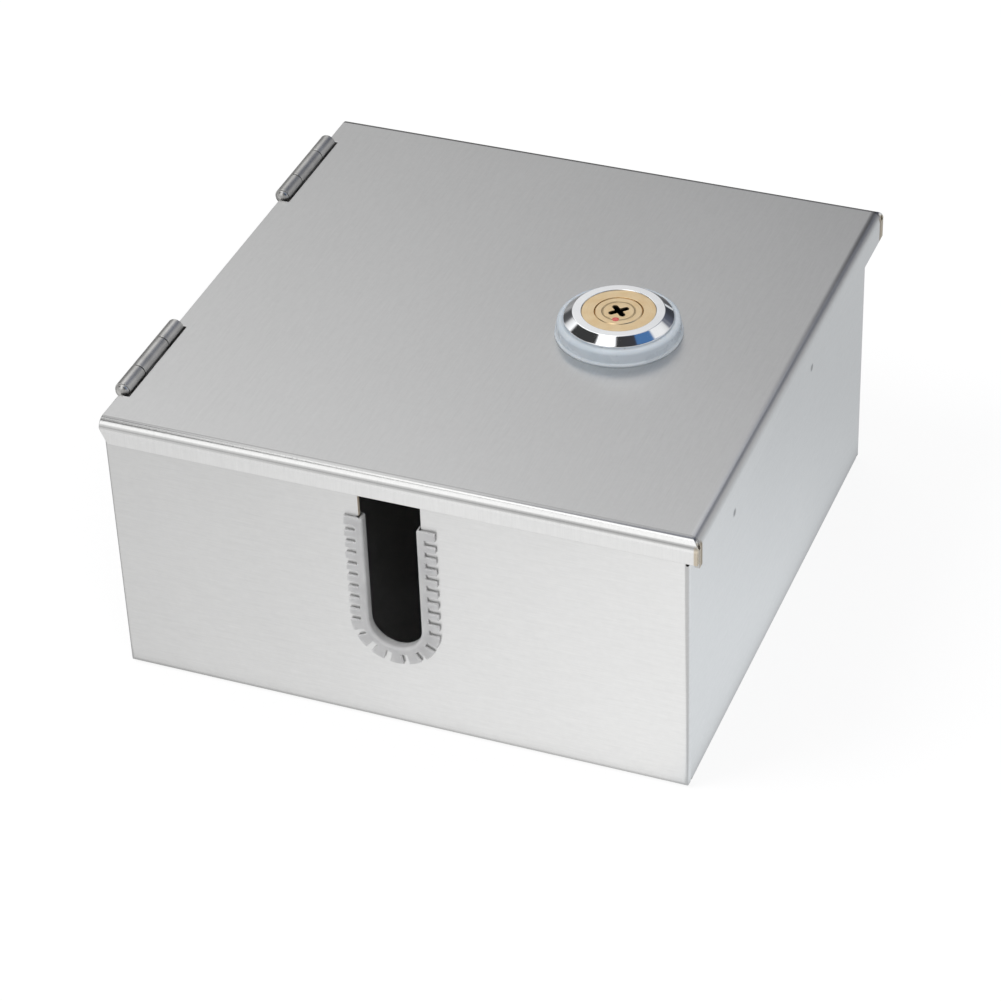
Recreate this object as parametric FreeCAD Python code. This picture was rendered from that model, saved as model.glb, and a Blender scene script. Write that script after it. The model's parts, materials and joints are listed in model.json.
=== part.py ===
"""Small lockable sheet-steel box: folded tray, hinged lid with lips, cam lock and edged cable slot.

Millimetres. Origin at the centre of the tray's underside, +X towards the lock side, +Y to the back, +Z up.
"""
import FreeCAD, Part
import os
from math import cos, pi, radians, sin, sqrt, tan

from FreeCAD import Vector

# Overall sizes
LID_WIDTH = 120.0
LID_DEPTH = 120.0
TOTAL_HEIGHT = 60.0

# Sheet metal
SHEET = 1.0
BEND_RADIUS = 1.6
LID_BEND_RADIUS = 2.2
LIP_HEIGHT = 6.5
FRONT_LIP_HEIGHT = 5.2
FRONT_LIP_GAP = 0.3
SIDE_LIP_GAP = 1.0
BACK_LIP_GAP = 3.7
LID_CLEARANCE = 0.5
CORNER_RADIUS = 1.1
RELIEF_WIDTH = 1.1
LIP_CORNER_GAP = 0.15
LIP_RELIEF_RADIUS = 0.5
LIP_SLANT_DROP = 1.8
LIP_SLANT_RUN = 2.1
BASE_HOLE_PITCH_X = 80.0
BASE_HOLE_PITCH_Y = 80.0
BASE_HOLE_RADIUS = 2.5

# Cable slot and its toothed edge strip
SLOT_WIDTH = 12.6
SLOT_BOTTOM = 18.7
TRIM_DROP = 5.8
TRIM_WEB = 0.85
TRIM_LEG = 0.7
TRIM_REACH = 3.0
TRIM_BAND = 0.75
TRIM_FIT = 0.02
TOOTH_PITCH = 2.75
TOOTH_GAP = 1.2

# Hinges
HINGE_SPACING = 75.0
HINGE_LENGTH = 23.6
MIDDLE_KNUCKLE = 10.2
KNUCKLE_GAP = 0.2
LEAF_THICKNESS = 0.8
LEAF_WIDTH = 10.0
LEAF_CORNER = 1.5
BARREL_RADIUS = 1.7
CURL_ANGLE = 290.0
PIN_CLEARANCE = 0.05
PIN_HEAD_INSET = 0.2
PIN_HEAD_HEIGHT = 1.1
PIN_HEAD_CHAMFER = 0.6
HINGE_CLEARANCE = 0.4

# Lock body
LOCK_INSET = 36.3
GASKET_RIM = 1.8
GASKET_THICKNESS = 3.25
GASKET_EDGE = 0.6
HEAD_SHOULDER = 1.85
HEAD_TAPER = 1.75
HEAD_HEIGHT = 1.75
HEAD_RIM = 0.35
HOUSING_RADIUS = 9.0
HOUSING_FLATS = 16.0
HOUSING_LENGTH = 16.65
HOUSING_FLOOR = 2.0
HOLE_CLEARANCE = 0.15
FACE_RECESS = 0.15
HOUSING_WALL = 0.7
CYLINDER_FIT = 0.03
LOCK_NUT_WALL = 2.0
LOCK_NUT_THICKNESS = 3.2
LOCK_WASHER_RIM = 2.6
LOCK_WASHER_THICKNESS = 0.8
LOCK_WASHER_TEETH = 10
LOCK_WASHER_NOTCH = 1.2

# Turning core
PLUG_RADIUS = 4.8
PLUG_CLEARANCE = 0.05
PLUG_CHAMFER = 0.25
KEYWAY_SPAN = 4.4
KEYWAY_WIDTH = 1.2
KEYWAY_DEPTH = 13.0
TAIL_STEP = 0.9
TAIL_SQUARE_INSET = 0.08
STUD_RADIUS = 2.5
STUD_END = 0.6
CAM_REST_ANGLE = -90.0
LOCK_TURN = 90.0
STOP_TAB_ANGLE = 40.0
STOP_CLEARANCE_ANGLE = 2.0
STOP_HEIGHT = 0.9
STOP_WALL = 1.3
STOP_WASHER_THICKNESS = 1.0
STOP_CLEARANCE = 0.1
STOP_TAB_INSET = 0.7
CAM_THICKNESS = 1.6
CAM_WIDTH = 12.0
CAM_WALL_GAP = 5.1
CAM_RISE = 4.5
CAM_HUB_REACH = 11.0
CAM_CRANK_RUN = 4.0
CAM_TIP_CORNER = 2.5
CAM_NUT_WALL = 1.5
CAM_NUT_THICKNESS = 3.0
CAM_WASHER_RIM = 2.1
CAM_WASHER_THICKNESS = 1.0
CAM_WASHER_SPLIT = 0.7
NUT_FIT = 0.05

# Catch for the cam, spot-welded inside the wall on the lock side
STRIKE_SHEET = 1.0
STRIKE_BEND = 1.5
STRIKE_LENGTH = 60.0
STRIKE_CENTRE_Y = -5.8
STRIKE_LEG = 10.0
STRIKE_FLANGE = 12.0
STRIKE_CLEARANCE = 0.4

# Places worked out from the sizes above
BODY_WIDTH = LID_WIDTH - SIDE_LIP_GAP - SHEET
BODY_DEPTH = LID_DEPTH - FRONT_LIP_GAP - BACK_LIP_GAP - 2 * SHEET
HALF_WIDTH = BODY_WIDTH / 2
HALF_DEPTH = BODY_DEPTH / 2
LID_LEFT = -HALF_WIDTH
LID_RIGHT = LID_LEFT + LID_WIDTH
LID_FRONT = -HALF_DEPTH - FRONT_LIP_GAP - SHEET
LID_BACK = LID_FRONT + LID_DEPTH
LID_CENTRE_Y = (LID_FRONT + LID_BACK) / 2
LID_UNDERSIDE = TOTAL_HEIGHT - SHEET
WALL_TOP = LID_UNDERSIDE - LID_CLEARANCE
LIP_END = TOTAL_HEIGHT - LIP_HEIGHT
FRONT_LIP_END = TOTAL_HEIGHT - FRONT_LIP_HEIGHT
SLOT_RADIUS = SLOT_WIDTH / 2
SLOT_CENTRE_Z = SLOT_BOTTOM + SLOT_RADIUS
TRIM_TOP = FRONT_LIP_END - TRIM_DROP

PIN_HOLE_RADIUS = BARREL_RADIUS - LEAF_THICKNESS
PIN_HEAD_RADIUS = BARREL_RADIUS - PIN_HEAD_INSET
HINGE_X = -HALF_WIDTH + SHEET + LEAF_THICKNESS - BARREL_RADIUS
HINGE_Z = LID_UNDERSIDE - LEAF_THICKNESS + BARREL_RADIUS
HINGES = {"front": LID_CENTRE_Y - HINGE_SPACING / 2, "rear": LID_CENTRE_Y + HINGE_SPACING / 2}

LOCK_X = LID_RIGHT - LOCK_INSET
LOCK_Y = LID_CENTRE_Y
HEAD_BASE_RADIUS = HOUSING_RADIUS + HEAD_SHOULDER
HEAD_TOP_RADIUS = HEAD_BASE_RADIUS - HEAD_TAPER
GASKET_RADIUS = HEAD_BASE_RADIUS + GASKET_RIM
CYLINDER_RADIUS = HOUSING_FLATS / 2 - HOUSING_WALL
LOCK_NUT_FLATS = 2 * (HOUSING_RADIUS + LOCK_NUT_WALL)
LOCK_WASHER_RADIUS = HOUSING_RADIUS + LOCK_WASHER_RIM
STOP_INNER_RADIUS = HOUSING_FLATS / 2 - STOP_WALL
STOP_TAB_RADIUS = HOUSING_RADIUS - STOP_TAB_INSET
HEAD_BASE = TOTAL_HEIGHT + GASKET_THICKNESS
HEAD_TOP = HEAD_BASE + HEAD_HEIGHT
FACE_Z = HEAD_TOP - FACE_RECESS
HOUSING_END = HEAD_BASE - HOUSING_LENGTH
HOUSING_LEDGE = HOUSING_END + HOUSING_FLOOR
WASHER_TOP = HOUSING_END - STOP_CLEARANCE
CAM_TOP = WASHER_TOP - STOP_WASHER_THICKNESS
CAM_BOTTOM = CAM_TOP - CAM_THICKNESS
CAM_NUT_TOP = CAM_BOTTOM - CAM_WASHER_THICKNESS
STUD_BOTTOM = CAM_NUT_TOP - CAM_NUT_THICKNESS - STUD_END
TAIL_RADIUS = PLUG_RADIUS - TAIL_STEP
TAIL_SQUARE = sqrt(2) * (TAIL_RADIUS - TAIL_SQUARE_INSET)
CAM_LENGTH = HALF_WIDTH - SHEET - CAM_WALL_GAP - LOCK_X
CAM_NUT_FLATS = 2 * (STUD_RADIUS + CAM_NUT_WALL)
CAM_WASHER_RADIUS = STUD_RADIUS + CAM_WASHER_RIM
STRIKE_UNDERSIDE = CAM_TOP + CAM_RISE + STRIKE_CLEARANCE

# How far a cutting body reaches past the face it opens
PAST = 1.0


def on_xz(y):
    """Place of a flat outline in the upright plane that faces the front."""
    return lambda u, v: Vector(u, y, v)


def on_yz(x):
    """Place of a flat outline in the upright plane that faces the side."""
    return lambda u, v: Vector(x, u, v)


def on_xy(z):
    """Place of a flat outline in a level plane."""
    return lambda u, v: Vector(u, v, z)


def rounded_wire(corners, place):
    """Closed outline through (u, v, radius) corners, each rounded by its radius."""
    starts, mids, ends = [], [], []
    for index, (u, v, radius) in enumerate(corners):
        here = place(u, v)
        before = place(*corners[index - 1][:2]) - here
        after = place(*corners[(index + 1) % len(corners)][:2]) - here
        before.normalize()
        after.normalize()
        half = before.getAngle(after) / 2
        middle = (before + after).normalize()
        setback = radius / tan(half)
        starts.append(here + before * setback)
        ends.append(here + after * setback)
        mids.append(here + middle * (radius / sin(half) - radius))
    edges = []
    for index, (_, _, radius) in enumerate(corners):
        if radius > 0:
            edges.append(Part.Arc(starts[index], mids[index], ends[index]).toShape())
        following = starts[(index + 1) % len(corners)]
        if (following - ends[index]).Length > 1e-6:
            edges.append(Part.LineSegment(ends[index], following).toShape())
    return Part.Wire(edges)


def plate(corners, place, sweep):
    """Solid from a rounded outline pushed along a vector."""
    return Part.Face(rounded_wire(corners, place)).extrude(sweep)


def block(low, high):
    """Box between two opposite corners."""
    size = Vector(*high) - Vector(*low)
    return Part.makeBox(size.x, size.y, size.z, Vector(*low))


def post(radius, x, y, low, high):
    """Upright round bar."""
    return Part.makeCylinder(radius, high - low, Vector(x, y, low))


def lathe(profile):
    """Solid turned about the lock's axis from (radius, z) points."""
    points = [Vector(LOCK_X + radius, LOCK_Y, z) for radius, z in profile]
    face = Part.Face(Part.makePolygon(points + points[:1]))
    return face.revolve(Vector(LOCK_X, LOCK_Y, 0), Vector(0, 0, 1), 360)


def hexagon(flats, low, high):
    """Upright hexagonal bar on the lock's axis."""
    corner = flats / 2 / cos(radians(30))
    angles = [radians(60 * side) for side in range(6)]
    corners = [(LOCK_X + corner * cos(angle), LOCK_Y + corner * sin(angle), 0) for angle in angles]
    return plate(corners, on_xy(low), Vector(0, 0, high - low))


def turned(shape, degrees):
    """The shape turned about the lock's axis."""
    moved = shape.copy()
    moved.rotate(Vector(LOCK_X, LOCK_Y, 0), Vector(0, 0, 1), degrees)
    return moved


def lying_open_box(half_width, half_depth, floor, top, radius):
    """Solid whose bottom edges are rounded along both pairs of walls."""
    across = [(-half_width, floor, radius), (half_width, floor, radius),
              (half_width, top, 0), (-half_width, top, 0)]
    along = [(-half_depth, floor, radius), (half_depth, floor, radius),
             (half_depth, top, 0), (-half_depth, top, 0)]
    first = plate(across, on_xz(-half_depth), Vector(0, 2 * half_depth, 0))
    return first.common(plate(along, on_yz(-half_width), Vector(2 * half_width, 0, 0)))


def slot_outline(radius, top):
    """Corners of the slot's outline: straight sides down to a half round."""
    bottom = SLOT_CENTRE_Z - radius
    rounding = radius * (1 - 1e-6)
    return [(-radius, top, 0), (-radius, bottom, rounding), (radius, bottom, rounding), (radius, top, 0)]


def corner_relief(side_x, side_y):
    """Notch below a welded corner of the tray, where three bends would meet, as a cutting body."""
    end_of_wall = HALF_DEPTH - SHEET
    xs = sorted([side_x * (HALF_WIDTH - BEND_RADIUS), side_x * (HALF_WIDTH + PAST)])
    ys = sorted([side_y * (end_of_wall - RELIEF_WIDTH), side_y * end_of_wall])
    return block((xs[0], ys[0], -PAST), (xs[1], ys[1], BEND_RADIUS))


def hinge_span(y):
    """Stretch of the wall and lid edge that a hinge needs, pin head included."""
    half = HINGE_LENGTH / 2 + HINGE_CLEARANCE
    return y - half - PIN_HEAD_HEIGHT, y + half


def box_shell():
    """Folded tray: base and four walls, with the cable slot, base holes and room for the hinges."""
    outer = lying_open_box(HALF_WIDTH, HALF_DEPTH, 0, WALL_TOP, BEND_RADIUS)
    plan = [(-HALF_WIDTH, -HALF_DEPTH, CORNER_RADIUS), (HALF_WIDTH, -HALF_DEPTH, CORNER_RADIUS),
            (HALF_WIDTH, HALF_DEPTH, CORNER_RADIUS), (-HALF_WIDTH, HALF_DEPTH, CORNER_RADIUS)]
    outer = outer.common(plate(plan, on_xy(0), Vector(0, 0, WALL_TOP)))
    inner = lying_open_box(
        HALF_WIDTH - SHEET, HALF_DEPTH - SHEET, SHEET, WALL_TOP + PAST, BEND_RADIUS - SHEET)
    cuts = [inner]
    for side_x in (-1, 1):
        for side_y in (-1, 1):
            cuts.append(corner_relief(side_x, side_y))
            x, y = side_x * BASE_HOLE_PITCH_X / 2, side_y * BASE_HOLE_PITCH_Y / 2
            cuts.append(post(BASE_HOLE_RADIUS, x, y, -PAST, SHEET + PAST))
    through_wall = Vector(0, SHEET + 2 * PAST, 0)
    slot = slot_outline(SLOT_RADIUS, WALL_TOP + PAST)
    cuts.append(plate(slot, on_xz(-HALF_DEPTH - PAST), through_wall))
    notch_floor = HINGE_Z - BARREL_RADIUS - HINGE_CLEARANCE
    for y in HINGES.values():
        low, high = hinge_span(y)
        cuts.append(block((-HALF_WIDTH - PAST, low, notch_floor),
                          (-HALF_WIDTH + SHEET, high, WALL_TOP + PAST)))
    return outer.cut(cuts)


def tooth_gaps():
    """Cutting bodies between the teeth: level along the straight sides, fanned round the bottom."""
    root = SLOT_RADIUS + TRIM_BAND
    tip = SLOT_RADIUS + TRIM_REACH + PAST
    low_y = -HALF_DEPTH - TRIM_LEG - PAST
    high_y = -HALF_DEPTH + SHEET + TRIM_LEG + PAST
    gap = block((root, low_y, SLOT_CENTRE_Z - TOOTH_GAP / 2),
                (tip, high_y, SLOT_CENTRE_Z + TOOTH_GAP / 2))
    straight = TRIM_TOP - SLOT_CENTRE_Z
    rows = round(straight / TOOTH_PITCH)
    fan = round(pi * SLOT_RADIUS / TOOTH_PITCH)
    gaps = []
    for row in range(1, rows):
        right = gap.translated(Vector(0, 0, row * straight / rows))
        gaps += [right, right.mirror(Vector(0, 0, 0), Vector(1, 0, 0))]
    for step in range(fan + 1):
        fanned = gap.copy()
        fanned.rotate(Vector(0, 0, SLOT_CENTRE_Z), Vector(0, 1, 0), step * 180 / fan)
        gaps.append(fanned)
    return gaps


def slot_edge_trim():
    """Flexible strip that grips the slot's edge: a web through the slot and a toothed leg on each face."""
    front = -HALF_DEPTH - TRIM_LEG
    through = Vector(0, SHEET + 2 * TRIM_LEG, 0)
    strip = plate(slot_outline(SLOT_RADIUS + TRIM_REACH, TRIM_TOP), on_xz(front), through)
    opening = plate(slot_outline(SLOT_RADIUS - TRIM_WEB, TRIM_TOP + PAST), on_xz(front - PAST),
                    through + Vector(0, 2 * PAST, 0))
    groove_outer = plate(slot_outline(SLOT_RADIUS + TRIM_REACH + PAST, TRIM_TOP + PAST),
                         on_xz(-HALF_DEPTH - TRIM_FIT), Vector(0, SHEET + 2 * TRIM_FIT, 0))
    groove_core = plate(slot_outline(SLOT_RADIUS - TRIM_FIT, TRIM_TOP + 2 * PAST),
                        on_xz(-HALF_DEPTH - PAST), Vector(0, SHEET + 2 * PAST, 0))
    return strip.cut([opening, groove_outer.cut(groove_core)] + tooth_gaps())


def lid_panel():
    """Lid sheet with lips at the front, back and lock side, hinge notches and the lock's hole."""
    inner_radius = LID_BEND_RADIUS - SHEET
    across = [(LID_LEFT, TOTAL_HEIGHT, 0), (LID_RIGHT, TOTAL_HEIGHT, LID_BEND_RADIUS),
              (LID_RIGHT, LIP_END, 0), (LID_LEFT, LIP_END, 0)]
    along = [(LID_FRONT, TOTAL_HEIGHT, LID_BEND_RADIUS), (LID_BACK, TOTAL_HEIGHT, LID_BEND_RADIUS),
             (LID_BACK, LIP_END, 0), (LID_FRONT, LIP_END, 0)]
    across_inside = [(LID_LEFT - PAST, LID_UNDERSIDE, 0), (LID_RIGHT - SHEET, LID_UNDERSIDE, inner_radius),
                     (LID_RIGHT - SHEET, LIP_END - PAST, 0), (LID_LEFT - PAST, LIP_END - PAST, 0)]
    along_inside = [(LID_FRONT + SHEET, LID_UNDERSIDE, inner_radius),
                    (LID_BACK - SHEET, LID_UNDERSIDE, inner_radius),
                    (LID_BACK - SHEET, LIP_END - PAST, 0), (LID_FRONT + SHEET, LIP_END - PAST, 0)]
    full_y = Vector(0, LID_DEPTH, 0)
    full_x = Vector(LID_WIDTH + PAST, 0, 0)
    outer = plate(across, on_xz(LID_FRONT), full_y).common(plate(along, on_yz(LID_LEFT), full_x))
    inner = plate(across_inside, on_xz(LID_FRONT), full_y).common(
        plate(along_inside, on_yz(LID_LEFT - PAST), full_x + Vector(PAST, 0, 0)))
    slant = [(LID_LEFT, TOTAL_HEIGHT - LIP_SLANT_DROP, 0), (LID_LEFT + LIP_SLANT_RUN, LIP_END, 0),
             (LID_LEFT + LIP_SLANT_RUN, LIP_END - PAST, 0), (LID_LEFT - PAST, LIP_END - PAST, 0),
             (LID_LEFT - PAST, TOTAL_HEIGHT - LIP_SLANT_DROP, 0)]
    below_front_lip = block((LID_LEFT - PAST, LID_FRONT - PAST, LIP_END - PAST),
                            (LID_RIGHT + PAST, LID_FRONT + SHEET, FRONT_LIP_END))
    cuts = [inner, plate(slant, on_xz(LID_FRONT - PAST), full_y + Vector(0, 2 * PAST, 0)), lock_hole()]
    cuts.append(below_front_lip)
    cuts += lip_corner(LID_FRONT + SHEET, 1)
    cuts += lip_corner(LID_BACK - SHEET, -1)
    for y in HINGES.values():
        low, high = hinge_span(y)
        edge = HINGE_X + BARREL_RADIUS + HINGE_CLEARANCE
        cuts.append(block((LID_LEFT - PAST, low, LID_UNDERSIDE - PAST),
                          (edge, high, TOTAL_HEIGHT + PAST)))
    return outer.cut(cuts)


def lip_corner(lip_y, inwards):
    """Open corner between two lips: the lock-side lip stops short, with a round relief at the bends."""
    ends = sorted([lip_y, lip_y + inwards * LIP_CORNER_GAP])
    gap = block((LID_RIGHT - SHEET, ends[0], LIP_END - PAST),
                (LID_RIGHT + PAST, ends[1], TOTAL_HEIGHT - LID_BEND_RADIUS))
    relief_y = lip_y + inwards * LIP_CORNER_GAP / 2
    relief = post(LIP_RELIEF_RADIUS, LID_RIGHT - LIP_RELIEF_RADIUS / 2, relief_y,
                  TOTAL_HEIGHT - LID_BEND_RADIUS, TOTAL_HEIGHT + PAST)
    return [gap, relief]


def double_flat(radius, flats, low, high):
    """Round bar on the lock's axis with two flats across Y."""
    bar = post(radius, LOCK_X, LOCK_Y, low, high)
    return bar.common(block((LOCK_X - radius, LOCK_Y - flats / 2, low),
                            (LOCK_X + radius, LOCK_Y + flats / 2, high)))


def lock_hole():
    """Hole in the lid that keeps the lock body from turning, as a cutting body."""
    return double_flat(HOUSING_RADIUS + HOLE_CLEARANCE, HOUSING_FLATS + 2 * HOLE_CLEARANCE,
                       LID_UNDERSIDE - PAST, TOTAL_HEIGHT + PAST)


def curl_section(length, place):
    """Section of a hinge leaf: a flat strip of the given length that curls round the pin."""
    def polar(radius, degrees):
        return place(radius * cos(radians(degrees)), radius * sin(radians(degrees)))
    outer, hole, end = BARREL_RADIUS, PIN_HOLE_RADIUS, CURL_ANGLE
    edges = [
        Part.Arc(polar(outer, 0), polar(outer, end / 2), polar(outer, end)).toShape(),
        Part.LineSegment(polar(outer, end), polar(hole, end)).toShape(),
        Part.Arc(polar(hole, end), polar(hole, end / 2), polar(hole, 0)).toShape(),
        Part.LineSegment(polar(hole, 0), place(hole, -length)).toShape(),
        Part.LineSegment(place(hole, -length), place(outer, -length)).toShape(),
        Part.LineSegment(place(outer, -length), polar(outer, 0)).toShape(),
    ]
    return Part.Face(Part.Wire(edges))


def knuckle_spans(y):
    """Stretches along the pin of the front, middle and rear knuckles."""
    start, end = y - HINGE_LENGTH / 2, y + HINGE_LENGTH / 2
    middle_low, middle_high = y - MIDDLE_KNUCKLE / 2, y + MIDDLE_KNUCKLE / 2
    return (start, middle_low - KNUCKLE_GAP), (middle_low, middle_high), (middle_high + KNUCKLE_GAP, end)


def hinge_body_leaf(y):
    """Upright leaf inside the hinge-side wall, with the two outer knuckles."""
    front, _, rear = knuckle_spans(y)
    clear = BARREL_RADIUS + HINGE_CLEARANCE
    top = HINGE_Z - clear
    bottom = HINGE_Z - BARREL_RADIUS - LEAF_WIDTH
    inner_x = HINGE_X + PIN_HOLE_RADIUS
    corners = [(front[0], top, 0), (front[0], bottom, LEAF_CORNER),
               (rear[1], bottom, LEAF_CORNER), (rear[1], top, 0)]
    leaf = plate(corners, on_yz(inner_x), Vector(LEAF_THICKNESS, 0, 0))
    for low, high in (front, rear):
        section = curl_section(clear + LEAF_CORNER, lambda u, v: Vector(HINGE_X + u, low, HINGE_Z + v))
        leaf = leaf.fuse(section.extrude(Vector(0, high - low, 0)))
    return leaf.removeSplitter()


def hinge_lid_leaf(y):
    """Level leaf under the lid, with the middle knuckle."""
    front, (low, high), rear = knuckle_spans(y)
    clear = BARREL_RADIUS + HINGE_CLEARANCE
    start = HINGE_X + clear
    end = HINGE_X + BARREL_RADIUS + LEAF_WIDTH
    corners = [(start, front[0], 0), (end, front[0], LEAF_CORNER),
               (end, rear[1], LEAF_CORNER), (start, rear[1], 0)]
    leaf = plate(corners, on_xy(HINGE_Z - BARREL_RADIUS), Vector(0, 0, LEAF_THICKNESS))
    section = curl_section(clear + LEAF_CORNER, lambda u, v: Vector(HINGE_X - v, low, HINGE_Z - u))
    return leaf.fuse(section.extrude(Vector(0, high - low, 0))).removeSplitter()


def hinge_pin(y):
    """Pin through the knuckles with a chamfered head at the front."""
    radius = PIN_HOLE_RADIUS - PIN_CLEARANCE
    start, end = y - HINGE_LENGTH / 2, y + HINGE_LENGTH / 2
    crown = start - PIN_HEAD_HEIGHT
    profile = [(0, crown), (PIN_HEAD_RADIUS - PIN_HEAD_CHAMFER, crown),
               (PIN_HEAD_RADIUS, crown + PIN_HEAD_CHAMFER), (PIN_HEAD_RADIUS, start),
               (radius, start), (radius, end), (0, end), (0, crown)]
    points = [Vector(HINGE_X + reach, along, HINGE_Z) for reach, along in profile]
    axis_point = Vector(HINGE_X, 0, HINGE_Z)
    return Part.Face(Part.makePolygon(points)).revolve(axis_point, Vector(0, 1, 0), 360)


def lock_gasket():
    """Soft spacer ring between the lock's head and the lid."""
    hole = HOUSING_RADIUS + HOLE_CLEARANCE
    top = TOTAL_HEIGHT + GASKET_THICKNESS
    return lathe([(hole, TOTAL_HEIGHT), (GASKET_RADIUS, TOTAL_HEIGHT),
                  (GASKET_RADIUS - GASKET_EDGE, top), (hole, top)])


def lock_housing():
    """Plated lock body: coned head, flatted barrel, ledge at the bottom and the stop for the turn."""
    bore = CYLINDER_RADIUS + CYLINDER_FIT
    tail_hole = TAIL_RADIUS + PLUG_CLEARANCE
    body = lathe([(bore, HEAD_TOP), (HEAD_TOP_RADIUS, HEAD_TOP), (HEAD_BASE_RADIUS, HEAD_BASE + HEAD_RIM),
                  (HEAD_BASE_RADIUS, HEAD_BASE), (HOUSING_RADIUS, HEAD_BASE), (HOUSING_RADIUS, HOUSING_END),
                  (tail_hole, HOUSING_END), (tail_hole, HOUSING_LEDGE), (bore, HOUSING_LEDGE)])
    free_angle = LOCK_TURN + STOP_TAB_ANGLE + 2 * STOP_CLEARANCE_ANGLE
    stop_start = CAM_REST_ANGLE + 180 - STOP_TAB_ANGLE / 2 - STOP_CLEARANCE_ANGLE + free_angle
    stop = Part.makeCylinder(HOUSING_RADIUS, STOP_HEIGHT, Vector(LOCK_X, LOCK_Y, HOUSING_END - STOP_HEIGHT),
                             Vector(0, 0, 1), 360 - free_angle)
    stop_hole = post(STOP_INNER_RADIUS, LOCK_X, LOCK_Y, HOUSING_END - STOP_HEIGHT, HOUSING_END)
    stop = turned(stop, stop_start).cut(stop_hole)
    body = body.fuse(stop)
    cuts = []
    for side in (-1, 1):
        ys = sorted([LOCK_Y + side * HOUSING_FLATS / 2, LOCK_Y + side * (HOUSING_RADIUS + PAST)])
        cuts.append(block((LOCK_X - HOUSING_RADIUS, ys[0], HOUSING_END - PAST),
                          (LOCK_X + HOUSING_RADIUS, ys[1], HEAD_BASE)))
    return body.cut(cuts).removeSplitter()


def lock_cylinder():
    """Fixed brass sleeve in which the plug turns."""
    bore = PLUG_RADIUS + PLUG_CLEARANCE
    return lathe([(bore, FACE_Z), (CYLINDER_RADIUS, FACE_Z), (CYLINDER_RADIUS, HOUSING_LEDGE),
                  (bore, HOUSING_LEDGE)])


def lock_washer():
    """Toothed washer between the lid and the nut."""
    top = LID_UNDERSIDE
    bottom = top - LOCK_WASHER_THICKNESS
    ring = post(LOCK_WASHER_RADIUS, LOCK_X, LOCK_Y, bottom, top)
    notch_floor = LOCK_X + LOCK_WASHER_RADIUS - LOCK_WASHER_NOTCH
    notch = block((notch_floor, LOCK_Y - LOCK_WASHER_NOTCH / 2, bottom),
                  (notch_floor + LOCK_WASHER_NOTCH + PAST, LOCK_Y + LOCK_WASHER_NOTCH / 2, top))
    cuts = [post(HOUSING_RADIUS + HOLE_CLEARANCE, LOCK_X, LOCK_Y, bottom, top)]
    cuts += [turned(notch, 360 / LOCK_WASHER_TEETH * tooth) for tooth in range(LOCK_WASHER_TEETH)]
    return ring.cut(cuts)


def lock_nut():
    """Thin hexagon nut that clamps the lock body to the lid."""
    top = LID_UNDERSIDE - LOCK_WASHER_THICKNESS
    bottom = top - LOCK_NUT_THICKNESS
    nut = hexagon(LOCK_NUT_FLATS, bottom, top)
    return nut.cut(post(HOUSING_RADIUS + NUT_FIT, LOCK_X, LOCK_Y, bottom, top))


def square_bar(side, low, high):
    """Upright square bar on the lock's axis."""
    return block((LOCK_X - side / 2, LOCK_Y - side / 2, low), (LOCK_X + side / 2, LOCK_Y + side / 2, high))


def keyway():
    """Cross-shaped key slot as a cutting body."""
    half, edge = KEYWAY_SPAN / 2, KEYWAY_WIDTH / 2
    rounding = edge * 0.98
    corners = [(LOCK_X - half, LOCK_Y - edge, rounding), (LOCK_X + half, LOCK_Y - edge, rounding),
               (LOCK_X + half, LOCK_Y + edge, rounding), (LOCK_X - half, LOCK_Y + edge, rounding)]
    arm = plate(corners, on_xy(FACE_Z - KEYWAY_DEPTH), Vector(0, 0, KEYWAY_DEPTH + PAST))
    return [turned(arm, 45), turned(arm, -45)]


def lock_plug():
    """Turning plug with the key slot, its round and square tail and the stud for the cam's nut."""
    foot = HOUSING_LEDGE + PLUG_CLEARANCE
    body = lathe([(0, FACE_Z), (PLUG_RADIUS - PLUG_CHAMFER, FACE_Z), (PLUG_RADIUS, FACE_Z - PLUG_CHAMFER),
                  (PLUG_RADIUS, foot), (TAIL_RADIUS, foot), (TAIL_RADIUS, WASHER_TOP), (0, WASHER_TOP)])
    square = square_bar(TAIL_SQUARE, CAM_BOTTOM, WASHER_TOP)
    stud = post(STUD_RADIUS, LOCK_X, LOCK_Y, STUD_BOTTOM, CAM_BOTTOM)
    return body.fuse([square, stud]).cut(keyway()).removeSplitter()


def square_hole(low, high):
    """Hole that fits the plug's square tail, as a cutting body."""
    return square_bar(TAIL_SQUARE + 2 * PLUG_CLEARANCE, low - PAST, high + PAST)


def stop_washer():
    """Washer with the tab that meets the housing's stop at each end of the turn."""
    low = WASHER_TOP - STOP_WASHER_THICKNESS
    disc = post(STOP_INNER_RADIUS - HOLE_CLEARANCE, LOCK_X, LOCK_Y, low, WASHER_TOP)
    tab = Part.makeCylinder(STOP_TAB_RADIUS, STOP_WASHER_THICKNESS, Vector(LOCK_X, LOCK_Y, low),
                            Vector(0, 0, 1), STOP_TAB_ANGLE)
    tab = turned(tab, CAM_REST_ANGLE + 180 - STOP_TAB_ANGLE / 2)
    return disc.fuse(tab).cut(square_hole(low, WASHER_TOP)).removeSplitter()


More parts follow.
